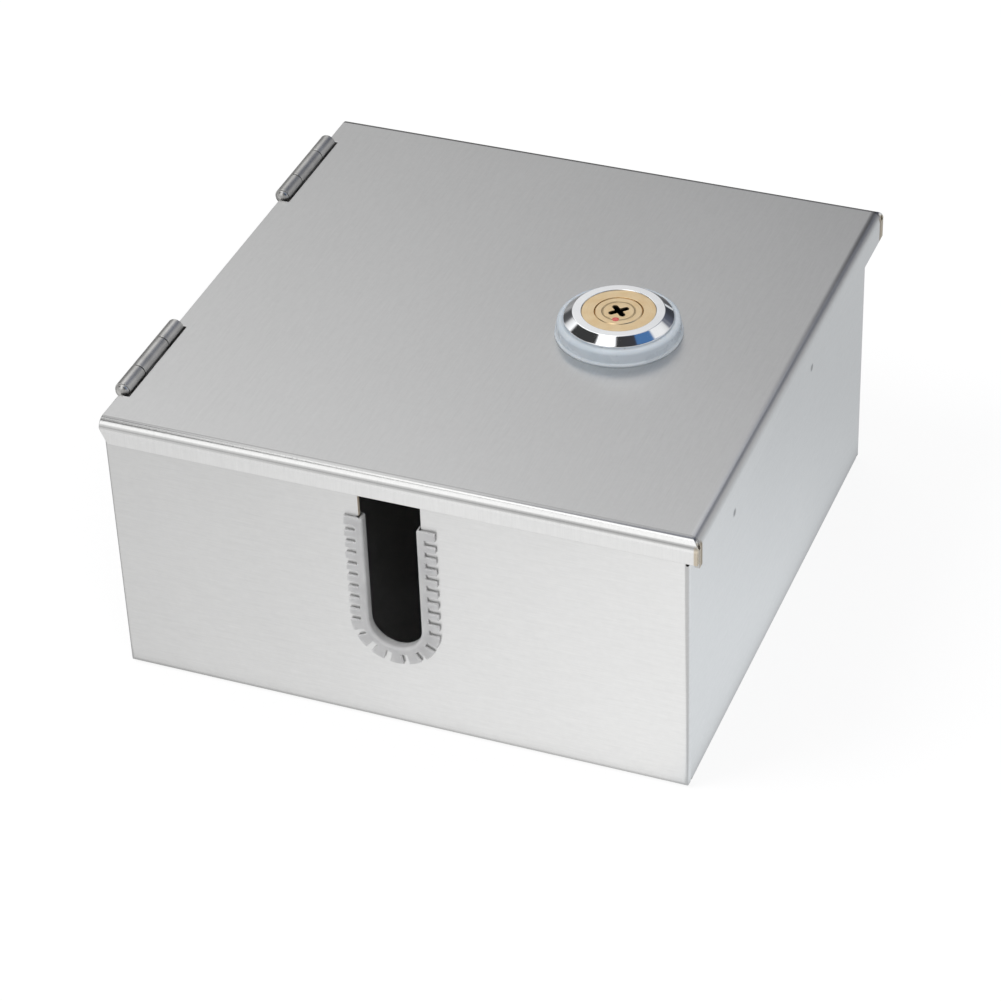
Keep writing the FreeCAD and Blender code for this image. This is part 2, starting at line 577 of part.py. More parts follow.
def lock_cam():
    """Cranked arm: hub on the plug's tail, a step up, and the tongue that goes under the catch."""
    half = CAM_WIDTH / 2
    crank_end = CAM_HUB_REACH + CAM_CRANK_RUN
    side = [(-half, CAM_BOTTOM), (CAM_HUB_REACH, CAM_BOTTOM), (crank_end, CAM_BOTTOM + CAM_RISE),
            (CAM_LENGTH, CAM_BOTTOM + CAM_RISE), (CAM_LENGTH, CAM_TOP + CAM_RISE),
            (crank_end, CAM_TOP + CAM_RISE), (CAM_HUB_REACH, CAM_TOP), (-half, CAM_TOP)]
    bends = [0, CAM_THICKNESS, CAM_THICKNESS / 2, 0, 0, CAM_THICKNESS, CAM_THICKNESS / 2, 0]
    profile = [(LOCK_X + reach, z, bend) for (reach, z), bend in zip(side, bends)]
    bar = plate(profile, on_xz(LOCK_Y - half), Vector(0, CAM_WIDTH, 0))
    hub_round = half * (1 - 1e-6)
    back, front = LOCK_Y + half, LOCK_Y - half
    outline = [(LOCK_X - half, front, hub_round), (LOCK_X + CAM_LENGTH, front, CAM_TIP_CORNER),
               (LOCK_X + CAM_LENGTH, back, CAM_TIP_CORNER), (LOCK_X - half, back, hub_round)]
    seen_from_above = plate(outline, on_xy(CAM_BOTTOM), Vector(0, 0, CAM_RISE + CAM_THICKNESS))
    cam = bar.common(seen_from_above).cut(square_hole(CAM_BOTTOM, CAM_TOP))
    return turned(cam, CAM_REST_ANGLE)


def cam_washer():
    """Split spring washer under the cam's nut."""
    ring = post(CAM_WASHER_RADIUS, LOCK_X, LOCK_Y, CAM_NUT_TOP, CAM_BOTTOM)
    hole = post(STUD_RADIUS + NUT_FIT, LOCK_X, LOCK_Y, CAM_NUT_TOP, CAM_BOTTOM)
    split = block((LOCK_X, LOCK_Y - CAM_WASHER_SPLIT / 2, CAM_NUT_TOP),
                  (LOCK_X + CAM_WASHER_RADIUS, LOCK_Y + CAM_WASHER_SPLIT / 2, CAM_BOTTOM))
    return ring.cut([hole, split])


def cam_nut():
    """Hexagon nut that holds the cam on the plug's stud."""
    bottom = CAM_NUT_TOP - CAM_NUT_THICKNESS
    nut = hexagon(CAM_NUT_FLATS, bottom, CAM_NUT_TOP)
    return nut.cut(post(STUD_RADIUS + NUT_FIT, LOCK_X, LOCK_Y, bottom, CAM_NUT_TOP))


def lock_strike():
    """Angle strip welded inside the lock-side wall; the cam's tongue goes under its flange."""
    wall = HALF_WIDTH - SHEET
    top = STRIKE_UNDERSIDE + STRIKE_SHEET
    inner_bend = STRIKE_BEND - STRIKE_SHEET
    corners = [(wall, top - STRIKE_LEG, 0), (wall, top, STRIKE_BEND), (wall - STRIKE_FLANGE, top, 0),
               (wall - STRIKE_FLANGE, STRIKE_UNDERSIDE, 0),
               (wall - STRIKE_SHEET, STRIKE_UNDERSIDE, inner_bend),
               (wall - STRIKE_SHEET, top - STRIKE_LEG, 0)]
    return plate(corners, on_xz(STRIKE_CENTRE_Y - STRIKE_LENGTH / 2), Vector(0, STRIKE_LENGTH, 0))


def build_nodes():
    """Every piece by its node name."""
    nodes = {
        "box_shell": box_shell(),
        "slot_edge_trim": slot_edge_trim(),
        "lock_strike": lock_strike(),
        "lid_panel": lid_panel(),
        "lock_gasket": lock_gasket(),
        "lock_housing": lock_housing(),
        "lock_cylinder": lock_cylinder(),
        "lock_washer": lock_washer(),
        "lock_nut": lock_nut(),
        "lock_plug": lock_plug(),
        "stop_washer": stop_washer(),
        "lock_cam": lock_cam(),
        "cam_washer": cam_washer(),
        "cam_nut": cam_nut(),
    }
    for name, y in HINGES.items():
        nodes["hinge_body_leaf_" + name] = hinge_body_leaf(y)
        nodes["hinge_lid_leaf_" + name] = hinge_lid_leaf(y)
        nodes["hinge_pin_" + name] = hinge_pin(y)
    return nodes


os.makedirs("parts", exist_ok=True)
for node, shape in build_nodes().items():
    solids = shape.Solids
    print(node, "solids", len(solids), "valid", shape.isValid(), "volume", round(shape.Volume, 1))
    solid = solids[0] if len(solids) == 1 else Part.Compound(solids)
    solid.exportStep("parts/" + node + ".step")
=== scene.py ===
"""Looks of the small lockable steel box: brushed sheet, plated lock, hinges and toothed slot edge."""
import json
from math import cos, pi, radians, sin, tan

import bmesh
import bpy
from mathutils import Matrix, Vector


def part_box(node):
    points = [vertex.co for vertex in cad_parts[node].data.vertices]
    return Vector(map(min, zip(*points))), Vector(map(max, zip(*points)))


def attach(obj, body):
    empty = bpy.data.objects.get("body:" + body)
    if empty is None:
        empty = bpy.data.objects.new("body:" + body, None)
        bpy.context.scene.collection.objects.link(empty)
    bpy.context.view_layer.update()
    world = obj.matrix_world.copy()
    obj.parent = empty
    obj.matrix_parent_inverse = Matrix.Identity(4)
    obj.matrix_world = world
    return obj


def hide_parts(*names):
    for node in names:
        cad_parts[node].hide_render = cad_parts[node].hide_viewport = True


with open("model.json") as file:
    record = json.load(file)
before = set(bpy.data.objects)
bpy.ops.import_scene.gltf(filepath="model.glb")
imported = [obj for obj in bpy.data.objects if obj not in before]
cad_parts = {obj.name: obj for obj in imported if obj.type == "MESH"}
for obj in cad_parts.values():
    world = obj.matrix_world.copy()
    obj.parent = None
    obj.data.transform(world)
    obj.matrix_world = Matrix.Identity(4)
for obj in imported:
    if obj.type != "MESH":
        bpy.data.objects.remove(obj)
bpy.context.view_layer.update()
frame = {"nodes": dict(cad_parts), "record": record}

MM = 0.001
JOINTS = {joint["name"]: joint for joint in frame["record"]["behaviour"]["joints"]}
BODY_OF = {node: body for body, nodes in frame["record"]["behaviour"]["bodies"].items() for node in nodes}
LOCK_X, LOCK_Y, _ = JOINTS["lock_turn"]["pos_m"]
FACE_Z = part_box("lock_plug")[1][2]
LID_LOW, LID_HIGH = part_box("lid_panel")
SHELL_HALF_WIDTH, SHELL_HALF_DEPTH, SHELL_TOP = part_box("box_shell")[1]
SHEET = 1.0 * MM

# Camera
CAMERA_PLACE = (0.21315, -0.51564, 0.42656)
CAMERA_AZIMUTH = radians(22.56)
CAMERA_ELEVATION = radians(36.459)
CAMERA_ROLL = radians(-2.279)
CAMERA_LENS = 121.55
SENSOR_WIDTH = 36.0

# Meshes
MERGE_DISTANCE = 1e-6
FLAT_ANGLE = radians(0.4)
SHARP_ANGLE = radians(28)
NARROW_FACE = 2.3
GRAIN_MAP = "grain"


# Small helpers for shader nodes

def new_node(tree, kind, **settings):
    node = tree.nodes.new(kind)
    for name, value in settings.items():
        setattr(node, name, value)
    return node


def feed(tree, socket, value):
    """Links an output to a socket, or sets a plain value on it."""
    if isinstance(value, bpy.types.NodeSocket):
        tree.links.new(value, socket)
    else:
        socket.default_value = value


def calc(tree, operation, first, second=0.0):
    node = new_node(tree, "ShaderNodeMath", operation=operation)
    feed(tree, node.inputs[0], first)
    feed(tree, node.inputs[1], second)
    return node.outputs[0]


def blend(tree, factor, first, second, mode="MIX"):
    node = new_node(tree, "ShaderNodeMix", data_type="RGBA", blend_type=mode)
    feed(tree, node.inputs["Factor"], factor)
    feed(tree, node.inputs["A"], first)
    feed(tree, node.inputs["B"], second)
    return node.outputs["Result"]


def scaled(tree, vector, scale):
    node = new_node(tree, "ShaderNodeMapping")
    feed(tree, node.inputs["Vector"], vector)
    node.inputs["Scale"].default_value = scale
    return node.outputs["Vector"]


def noise(tree, vector, scale=1.0, detail=2.0, roughness=0.5):
    node = new_node(tree, "ShaderNodeTexNoise")
    feed(tree, node.inputs["Vector"], vector)
    node.inputs["Scale"].default_value = scale
    node.inputs["Detail"].default_value = detail
    node.inputs["Roughness"].default_value = roughness
    return node.outputs["Fac"]


def smooth_step(tree, value, low, high):
    node = new_node(tree, "ShaderNodeMapRange", interpolation_type="SMOOTHSTEP")
    feed(tree, node.inputs["Value"], value)
    node.inputs["From Min"].default_value = low
    node.inputs["From Max"].default_value = high
    return node.outputs["Result"]


def spread(tree, value, low, high):
    """Maps 0 to 1 onto a range."""
    node = new_node(tree, "ShaderNodeMapRange")
    feed(tree, node.inputs["Value"], value)
    node.inputs["To Min"].default_value = low
    node.inputs["To Max"].default_value = high
    return node.outputs["Result"]


def ramp(tree, factor, stops):
    node = new_node(tree, "ShaderNodeValToRGB")
    elements = node.color_ramp.elements
    while len(elements) < len(stops):
        elements.new(1.0)
    for element, (place, colour) in zip(elements, stops):
        element.position = place
        element.color = (*colour, 1.0)
    feed(tree, node.inputs["Fac"], factor)
    return node.outputs["Color"]


def bump(tree, height, distance, strength):
    node = new_node(tree, "ShaderNodeBump")
    node.inputs["Strength"].default_value = strength
    node.inputs["Distance"].default_value = distance
    feed(tree, node.inputs["Height"], height)
    return node.outputs["Normal"]


def grey_of(tree, level):
    """Grey colour of the given level."""
    node = new_node(tree, "ShaderNodeCombineColor")
    for socket in node.inputs[:3]:
        feed(tree, socket, level)
    return node.outputs["Color"]


def new_material(name):
    material = bpy.data.materials.new(name)
    material.use_nodes = True
    return material, material.node_tree, material.node_tree.nodes["Principled BSDF"]


def dress(tree, shader, colour, rough, normal, metallic):
    """Sets what every surface here has: colour, roughness, fine relief and how metallic it is."""
    feed(tree, shader.inputs["Base Color"], colour)
    feed(tree, shader.inputs["Roughness"], rough)
    feed(tree, shader.inputs["Normal"], normal)
    shader.inputs["Metallic"].default_value = metallic


def object_place(tree):
    node = new_node(tree, "ShaderNodeTexCoord")
    return node.outputs["Object"]


def axes_of(tree, vector):
    node = new_node(tree, "ShaderNodeSeparateXYZ")
    feed(tree, node.inputs[0], vector)
    return node.outputs


def distance_to(tree, vector, point):
    node = new_node(tree, "ShaderNodeVectorMath", operation="DISTANCE")
    feed(tree, node.inputs[0], vector)
    node.inputs[1].default_value = point
    return node.outputs["Value"]


# Materials

METAL = 1.0
BURNT_METAL = 0.3
MILL_METAL = 0.5
PLASTIC = 0.0
FINE_RELIEF = 0.03 * MM
STEEL_COLOUR = (0.68, 0.68, 0.675)
STEEL_SHADE = 0.10
STEEL_CLOUD = 0.05
STEEL_SPECK = 0.03
STEEL_ROUGHNESS = (0.27, 0.37)
STEEL_ANISOTROPY = 0.75
QUARTER_TURN = 0.25
FINE_STREAK = (150.0, 3800.0, 1.0)
FINE_SHARE = 0.6
BROAD_STREAK = (190.0, 1150.0, 1.0)
BROAD_SHARE = 0.4
SCRATCH_LINE = (120.0, 2600.0, 1.0)
SCRATCH_RANGE = (0.76, 0.84)
SCRATCH_SHADE = 0.03
HEAT_TINT = (0.62, 0.54, 0.42)
HEAT_TINT_DARK = (0.30, 0.22, 0.12)
TINT_ACROSS = 0.9 * MM
TINT_ALONG = 2.9 * MM
LID_BEND = 2.2 * MM
BEND_POLISH = 0.5
BEND_START = (0.88 * LID_BEND, 0.72 * LID_BEND)
BEND_LOW = (LID_HIGH[2] - 1.15 * LID_BEND, LID_HIGH[2] - 0.95 * LID_BEND)
# Painted light: the front lip is made lighter, most at the left
LIP_PAINTED_LIGHT = 1.12
LIP_FRONT = (LID_LOW[1] + 0.6 * MM, LID_LOW[1] + 0.2 * MM)
# Painted dark reflection line along the lid's bends, weaker towards the right
BEND_DARK_REFLECTION = 0.52
BEND_DARK_REFLECTION_FADE = (0.6, 1.0)
BEND_DARK_REFLECTION_INNER = (LID_BEND, 0.92 * LID_BEND)
BEND_DARK_REFLECTION_OUTER = (0.50 * LID_BEND, 0.62 * LID_BEND)


def brushed_steel(name, details=None):
    """Brushed stainless sheet: streaks along the grain map's U, faint clouds and a few longer scratches."""
    material, tree, shader = new_material(name)
    grain = new_node(tree, "ShaderNodeUVMap", uv_map=GRAIN_MAP).outputs["UV"]
    place = object_place(tree)
    fine = noise(tree, scaled(tree, grain, FINE_STREAK), detail=3.0, roughness=0.6)
    broad = noise(tree, scaled(tree, grain, BROAD_STREAK), detail=2.0)
    clouds = noise(tree, place, scale=28.0, detail=3.0)
    streaks = calc(tree, "ADD", calc(tree, "MULTIPLY", fine, FINE_SHARE),
                   calc(tree, "MULTIPLY", broad, BROAD_SHARE))
    level = calc(tree, "ADD", spread(tree, streaks, 1 - STEEL_SHADE, 1 + STEEL_SHADE),
                 spread(tree, clouds, -STEEL_CLOUD, STEEL_CLOUD))
    scratch_lines = noise(tree, scaled(tree, grain, SCRATCH_LINE), detail=0.0)
    scratches = smooth_step(tree, scratch_lines, *SCRATCH_RANGE)
    level = calc(tree, "SUBTRACT", level, calc(tree, "MULTIPLY", scratches, SCRATCH_SHADE))
    specks = noise(tree, place, scale=900.0, detail=2.0)
    level = calc(tree, "ADD", level, spread(tree, specks, -STEEL_SPECK, STEEL_SPECK))
    colour = blend(tree, 1.0, (*STEEL_COLOUR, 1), grey_of(tree, level), "MULTIPLY")
    rough = spread(tree, calc(tree, "ADD", calc(tree, "MULTIPLY", streaks, 0.7),
                              calc(tree, "MULTIPLY", clouds, 0.3)), *STEEL_ROUGHNESS)
    height = streaks
    if details:
        colour, rough, height = details(tree, place, colour, rough, height)
    dress(tree, shader, colour, rough, bump(tree, height, 0.02 * MM, 0.35), METAL)
    shader.inputs["Anisotropic"].default_value = STEEL_ANISOTROPY
    shader.inputs["Anisotropic Rotation"].default_value = QUARTER_TURN
    tangent = new_node(tree, "ShaderNodeTangent", direction_type="UV_MAP", uv_map=GRAIN_MAP)
    tree.links.new(tangent.outputs["Tangent"], shader.inputs["Tangent"])
    return material


def lid_details(tree, place, colour, rough, height):
    """Heat tint at the open corners, smoother bends with a painted dark reflection line, and a front lip
    painted lighter.
    """
    x, y, z = axes_of(tree, place)
    from_side = calc(tree, "SUBTRACT", LID_HIGH[0], x)
    from_end = calc(tree, "MINIMUM", calc(tree, "SUBTRACT", y, LID_LOW[1]),
                    calc(tree, "SUBTRACT", LID_HIGH[1], y))
    bend = calc(tree, "MULTIPLY", smooth_step(tree, from_end, *BEND_START), smooth_step(tree, z, *BEND_LOW))
    rough = calc(tree, "MULTIPLY", rough, spread(tree, bend, 1.0, BEND_POLISH))
    to_left = smooth_step(tree, x, LID_HIGH[0], LID_LOW[0])
    # Painted dark reflection: a dark line along the bends between the lid and its lips, weaker towards the
    # right
    bend_dark_reflection = calc(tree, "MULTIPLY", smooth_step(tree, from_end, *BEND_DARK_REFLECTION_INNER),
                    smooth_step(tree, from_end, *BEND_DARK_REFLECTION_OUTER))
    bend_dark_reflection = calc(tree, "MULTIPLY", bend_dark_reflection, spread(tree, to_left, *BEND_DARK_REFLECTION_FADE))
    colour = blend(tree, bend_dark_reflection, colour, (BEND_DARK_REFLECTION, BEND_DARK_REFLECTION, BEND_DARK_REFLECTION, 1), "MULTIPLY")
    # Painted light: the front lip made lighter, fading out towards the right
    front = calc(tree, "MULTIPLY", smooth_step(tree, y, *LIP_FRONT), to_left)
    colour = blend(tree, front, colour, (LIP_PAINTED_LIGHT, LIP_PAINTED_LIGHT, LIP_PAINTED_LIGHT, 1), "MULTIPLY")
    at_side = smooth_step(tree, from_side, TINT_ACROSS, 0.7 * TINT_ACROSS)
    at_end = smooth_step(tree, from_end, TINT_ALONG, 0.8 * TINT_ALONG)
    below = smooth_step(tree, z, LID_HIGH[2] - 0.8 * MM, LID_HIGH[2] - 1.6 * MM)
    tint = calc(tree, "MULTIPLY", calc(tree, "MULTIPLY", at_side, at_end), below)
    patchy = spread(tree, noise(tree, place, scale=900.0, detail=2.0), 0.7, 1.0)
    dark_end = smooth_step(tree, from_end, 0.55 * TINT_ALONG, 0.85 * TINT_ALONG)
    shade = blend(tree, dark_end, (*HEAT_TINT, 1), (*HEAT_TINT_DARK, 1))
    colour = blend(tree, calc(tree, "MULTIPLY", tint, patchy), colour, shade)
    rough = calc(tree, "ADD", rough, calc(tree, "MULTIPLY", tint, 0.2))
    return colour, rough, height


WELD_MARKS = [(18.8 * MM, 47.9 * MM), (-30.5 * MM, 46.9 * MM)]
WELD_RADIUS = 1.1 * MM
WELD_COLOUR = (0.16, 0.16, 0.17, 1)
WELD_SHADE = 0.55
WELD_DENT = 6.0
# Painted shadow: a dark spot in the gap under the lid's lip at the front corner
CORNER_SHADOW_SPOT = (SHELL_HALF_WIDTH - 0.4 * MM, 0.3 * MM - SHELL_HALF_DEPTH, 53.5 * MM)
SHADOW_SPOT_RADIUS = 0.5 * MM
SHADOW_SPOT_COLOUR = (0.015, 0.014, 0.013, 1)


def shell_details(tree, place, colour, rough, height):
    """Spot-weld dents on the lock-side wall and a painted shadow spot at the front corner, under the lid's
    lip.
    """
    marks = None
    for y, z in WELD_MARKS:
        away = distance_to(tree, place, (SHELL_HALF_WIDTH, y, z))
        mark = smooth_step(tree, away, WELD_RADIUS, WELD_RADIUS * 0.35)
        marks = mark if marks is None else calc(tree, "MAXIMUM", marks, mark)
    colour = blend(tree, calc(tree, "MULTIPLY", marks, WELD_SHADE), colour, WELD_COLOUR)
    rough = calc(tree, "ADD", rough, calc(tree, "MULTIPLY", marks, 0.15))
    height = calc(tree, "SUBTRACT", height, calc(tree, "MULTIPLY", marks, WELD_DENT))
    # Painted shadow spot in the gap under the lip's corner
    shadow_spot = smooth_step(tree, distance_to(tree, place, CORNER_SHADOW_SPOT), SHADOW_SPOT_RADIUS, SHADOW_SPOT_RADIUS * 0.6)
    colour = blend(tree, shadow_spot, colour, SHADOW_SPOT_COLOUR)
    return colour, rough, height


def cut_steel():
    """Sheared sheet edge: darker, rougher, with fine lines across the thickness."""
    material, tree, shader = new_material("cut_steel")
    place = object_place(tree)
    lines = noise(tree, scaled(tree, place, (2500.0, 2500.0, 900.0)), detail=2.0)
    stains = noise(tree, place, scale=160.0, detail=2.0)
    colour = ramp(tree, stains, [(0.3, (0.40, 0.39, 0.375)), (0.7, (0.54, 0.54, 0.535))])
    rough = spread(tree, lines, 0.38, 0.55)
    dress(tree, shader, colour, rough, bump(tree, lines, FINE_RELIEF, 0.4), METAL)
    return material


def burnt_steel():
    """Cut edge left straw-coloured and dull by heat."""
    material, tree, shader = new_material("burnt_steel")
    place = object_place(tree)
    stains = noise(tree, place, scale=500.0, detail=3.0)
    colour = ramp(tree, stains, [(0.3, (0.72, 0.60, 0.44)), (0.7, (0.84, 0.77, 0.66))])
    rough = spread(tree, stains, 0.45, 0.6)
    dress(tree, shader, colour, rough, bump(tree, stains, FINE_RELIEF, 0.4), BURNT_METAL)
    return material


def mill_steel():
    """Dull unbrushed inside of the tray, with faint rolling marks and handling stains."""
    material, tree, shader = new_material("mill_steel")
    place = object_place(tree)
    marks = noise(tree, scaled(tree, place, (60.0, 900.0, 900.0)), detail=3.0)
    stains = noise(tree, place, scale=45.0, detail=3.0)
    colour = ramp(tree, stains, [(0.3, (0.60, 0.60, 0.60)), (0.7, (0.70, 0.70, 0.695))])
    rough = spread(tree, marks, 0.46, 0.58)
    dress(tree, shader, colour, rough, bump(tree, marks, FINE_RELIEF, 0.3), MILL_METAL)
    return material


def hinge_steel():
    """Rolled hinge steel, satin and darker than the sheet, with handling marks."""
    material, tree, shader = new_material("hinge_steel")
    place = object_place(tree)
    lines = noise(tree, scaled(tree, place, (900.0, 120.0, 900.0)), detail=3.0)
    stains = noise(tree, place, scale=220.0, detail=3.0)
    colour = ramp(tree, stains, [(0.3, (0.50, 0.495, 0.48)), (0.7, (0.64, 0.635, 0.62))])
    rough = spread(tree, lines, 0.30, 0.42)
    dress(tree, shader, colour, rough, bump(tree, lines, FINE_RELIEF, 0.3), METAL)
    return material


BARREL_RADIUS = 9.0 * MM
THREAD_REACH = 0.12 * MM
BODY_THREAD = (BARREL_RADIUS, 1.0 * MM)
STUD_THREAD = (2.5 * MM, 0.8 * MM)
LID_UNDERSIDE = (LID_HIGH[2] - SHEET, LID_HIGH[2] - 1.2 * SHEET)


def thread_height(tree, place, radius, pitch):
    """Height of a thread on surfaces near a radius round the lock's axis, and the reach from that axis."""
    x, y, z = axes_of(tree, place)
    from_axis_x = calc(tree, "SUBTRACT", x, LOCK_X)
    from_axis_y = calc(tree, "SUBTRACT", y, LOCK_Y)
    reach = calc(tree, "SQRT", calc(tree, "ADD", calc(tree, "MULTIPLY", from_axis_x, from_axis_x),
                                    calc(tree, "MULTIPLY", from_axis_y, from_axis_y)))
    angle = calc(tree, "ARCTAN2", from_axis_y, from_axis_x)
    turns = calc(tree, "ADD", calc(tree, "DIVIDE", z, pitch), calc(tree, "DIVIDE", angle, 2 * pi))
    wave = calc(tree, "PINGPONG", turns, 0.5)
    on_barrel = calc(tree, "COMPARE", reach, radius)
    on_barrel.node.inputs[2].default_value = THREAD_REACH
    return calc(tree, "MULTIPLY", wave, on_barrel), reach


def chrome():
    """Bright plating on the lock's body, threaded on the barrel."""
    material, tree, shader = new_material("chrome")
    place = object_place(tree)
    wave, _ = thread_height(tree, place, *BODY_THREAD)
    _, _, z = axes_of(tree, place)
    under = smooth_step(tree, z, *LID_UNDERSIDE)
    specks = noise(tree, place, scale=1500.0, detail=3.0)
    haze = noise(tree, place, scale=260.0, detail=2.0)
    colour = ramp(tree, haze, [(0.3, (0.92, 0.935, 0.955)), (0.7, (0.96, 0.97, 0.985))])
    rough = spread(tree, specks, 0.04, 0.10)
    relief = bump(tree, calc(tree, "MULTIPLY", wave, under), 0.6 * MM, 0.8)
    dress(tree, shader, colour, rough, relief, METAL)
    return material


RING_GROOVE = 3.2 * MM
GROOVE_BREADTH = (0.22 * MM, 0.08 * MM)
# Painted shade in the cut groove
GROOVE_SHADE_COLOUR = (0.28, 0.18, 0.07, 1)
TURNING_RINGS = 9000.0
# Where and how dark the painted shade inside the key slot is
KEYWAY_REACH = (2.9 * MM, 2.7 * MM)
KEYWAY_START = (FACE_Z - 0.2 * MM, FACE_Z - 0.6 * MM)
KEYWAY_END = (FACE_Z - 13.5 * MM, FACE_Z - 13.0 * MM)
KEYWAY_SHADE_COLOUR = (0.012, 0.010, 0.008, 1)


def brass():
    """Turned brass: fine rings round the lock's axis, one cut groove darkened with painted shade, dull
    patches, and painted shade in the key slot.
    """
    material, tree, shader = new_material("brass")
    place = object_place(tree)
    wave, reach = thread_height(tree, place, *STUD_THREAD)
    rings = noise(tree, place, detail=2.0)
    rings.node.noise_dimensions = "1D"
    tree.links.new(calc(tree, "MULTIPLY", reach, TURNING_RINGS), rings.node.inputs["W"])
    groove_away = calc(tree, "ABSOLUTE", calc(tree, "SUBTRACT", reach, RING_GROOVE))
    groove = smooth_step(tree, groove_away, *GROOVE_BREADTH)
    stains = noise(tree, place, scale=420.0, detail=4.0)
    colour = ramp(tree, stains, [(0.25, (0.84, 0.62, 0.35)), (0.75, (0.92, 0.735, 0.475))])
    colour = blend(tree, 1.0, colour, grey_of(tree, spread(tree, rings, 0.88, 1.08)), "MULTIPLY")
    # Painted shade in the cut groove on the plug's face
    colour = blend(tree, calc(tree, "MULTIPLY", groove, 0.5), colour, GROOVE_SHADE_COLOUR)
    _, _, z = axes_of(tree, place)
    # Painted shade deep inside the key slot
    inside = calc(tree, "MULTIPLY", smooth_step(tree, z, *KEYWAY_START),
                  smooth_step(tree, reach, *KEYWAY_REACH))
    inside = calc(tree, "MULTIPLY", inside, smooth_step(tree, z, *KEYWAY_END))
    colour = blend(tree, inside, colour, KEYWAY_SHADE_COLOUR)
    rough = spread(tree, stains, 0.26, 0.40)
    height = calc(tree, "SUBTRACT", calc(tree, "MULTIPLY", rings, 0.06), groove)
    height = calc(tree, "ADD", height, calc(tree, "MULTIPLY", wave, 4.0))
    dress(tree, shader, colour, rough, bump(tree, height, 0.12 * MM, 0.7), METAL)
    return material


def clear_plastic():
    """Pale translucent plastic of the spacer ring, with faint moulding flow."""
    material, tree, shader = new_material("clear_plastic")
    place = object_place(tree)
    flow = noise(tree, place, scale=180.0, detail=3.0)
    colour = ramp(tree, flow, [(0.3, (0.56, 0.62, 0.67)), (0.7, (0.63, 0.68, 0.73))])
    rough = spread(tree, flow, 0.20, 0.34)
    dress(tree, shader, colour, rough, bump(tree, flow, 0.08 * MM, 0.25), PLASTIC)
    shader.inputs["Subsurface Weight"].default_value = 0.4
    shader.inputs["Subsurface Radius"].default_value = (1.5 * MM, 1.8 * MM, 2.1 * MM)
    shader.inputs["Subsurface Scale"].default_value = 1.0
    shader.inputs["IOR"].default_value = 1.46
    return material


def trim_nylon():
    """Milky nylon edge strip: soft, slightly see-through, with mould marks."""
    material, tree, shader = new_material("trim_nylon")
    place = object_place(tree)
    flow = noise(tree, place, scale=240.0, detail=3.0)
    fine = noise(tree, place, scale=2600.0, detail=2.0)
    colour = ramp(tree, flow, [(0.3, (0.55, 0.55, 0.55)), (0.7, (0.63, 0.63, 0.625))])
    rough = spread(tree, fine, 0.38, 0.52)
    dress(tree, shader, colour, rough, bump(tree, fine, FINE_RELIEF, 0.3), PLASTIC)
    shader.inputs["Subsurface Weight"].default_value = 0.8
    shader.inputs["Subsurface Radius"].default_value = (2.0 * MM, 2.0 * MM, 2.0 * MM)
    shader.inputs["Subsurface Scale"].default_value = 1.0
    return material


def zinc_steel():
    """Bright zinc plating on the lock's nuts, washers and cam, with a faint haze and rolling lines."""
    material, tree, shader = new_material("zinc_steel")
    place = object_place(tree)
    haze = noise(tree, place, scale=130.0, detail=3.0)
    lines = noise(tree, scaled(tree, place, (1800.0, 300.0, 1800.0)), detail=2.0)
    colour = ramp(tree, haze, [(0.25, (0.54, 0.56, 0.58)), (0.55, (0.64, 0.64, 0.63)),
                               (0.8, (0.66, 0.63, 0.56))])
    rough = spread(tree, lines, 0.24, 0.38)
    dress(tree, shader, colour, rough, bump(tree, lines, FINE_RELIEF, 0.35), METAL)
    return material


def red_paint():
    """Glossy red marking paint, a little uneven."""
    material, tree, shader = new_material("red_paint")
    place = object_place(tree)
    patches = noise(tree, place, scale=900.0, detail=2.0)
    colour = ramp(tree, patches, [(0.3, (0.55, 0.05, 0.05)), (0.7, (0.72, 0.16, 0.14))])
    feed(tree, shader.inputs["Base Color"], colour)
    feed(tree, shader.inputs["Roughness"], spread(tree, patches, 0.20, 0.36))
    return material


# Pieces

def node_mesh(node):
    """A CAD node's mesh with its flat faces joined."""
    mesh = bmesh.new()
    mesh.from_mesh(frame["nodes"][node].data)
    bmesh.ops.remove_doubles(mesh, verts=mesh.verts, dist=MERGE_DISTANCE)
    bmesh.ops.dissolve_limit(mesh, angle_limit=FLAT_ANGLE, verts=mesh.verts, edges=mesh.edges)
    mesh.normal_update()
    return mesh


def main_axis(normal):
    sizes = [abs(value) for value in normal]
    return sizes.index(max(sizes))


def lay_grain(mesh, directions):
    """Writes the grain map in metres: U along the brushing, V across it, by the way each face looks."""
    layer = mesh.loops.layers.uv.new(GRAIN_MAP)
    for face in mesh.faces:
        along, across = directions[main_axis(face.normal)]
        for loop in face.loops:
            place = loop.vert.co
            loop[layer].uv = (place[along], place[across])


def add_piece(name, mesh, body, materials, nodes=()):
    data = bpy.data.meshes.new(name)
    mesh.to_mesh(data)
    mesh.free()
    for material in materials:
        data.materials.append(material)
    for polygon in data.polygons:
        polygon.use_smooth = True
    piece = bpy.data.objects.new(name, data)
    bpy.context.scene.collection.objects.link(piece)
    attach(piece, body)
    if nodes:
        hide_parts(*nodes)
    return piece


def weigh_edges(mesh, width, share):
    """Gives each sharp edge its share of the rounding; one beside a face that is too narrow stays crisp."""
    layer = mesh.edges.layers.float.new("bevel_weight_edge")
    for edge in mesh.edges:
        if len(edge.link_faces) != 2 or edge.calc_face_angle() < SHARP_ANGLE:
            continue
        breadth = min(face.calc_area() for face in edge.link_faces) / edge.calc_length()
        part = share(edge) if share else 1.0
        if part > 0 and breadth > NARROW_FACE * width * part:
            edge[layer] = part
        else:
            edge.smooth = False


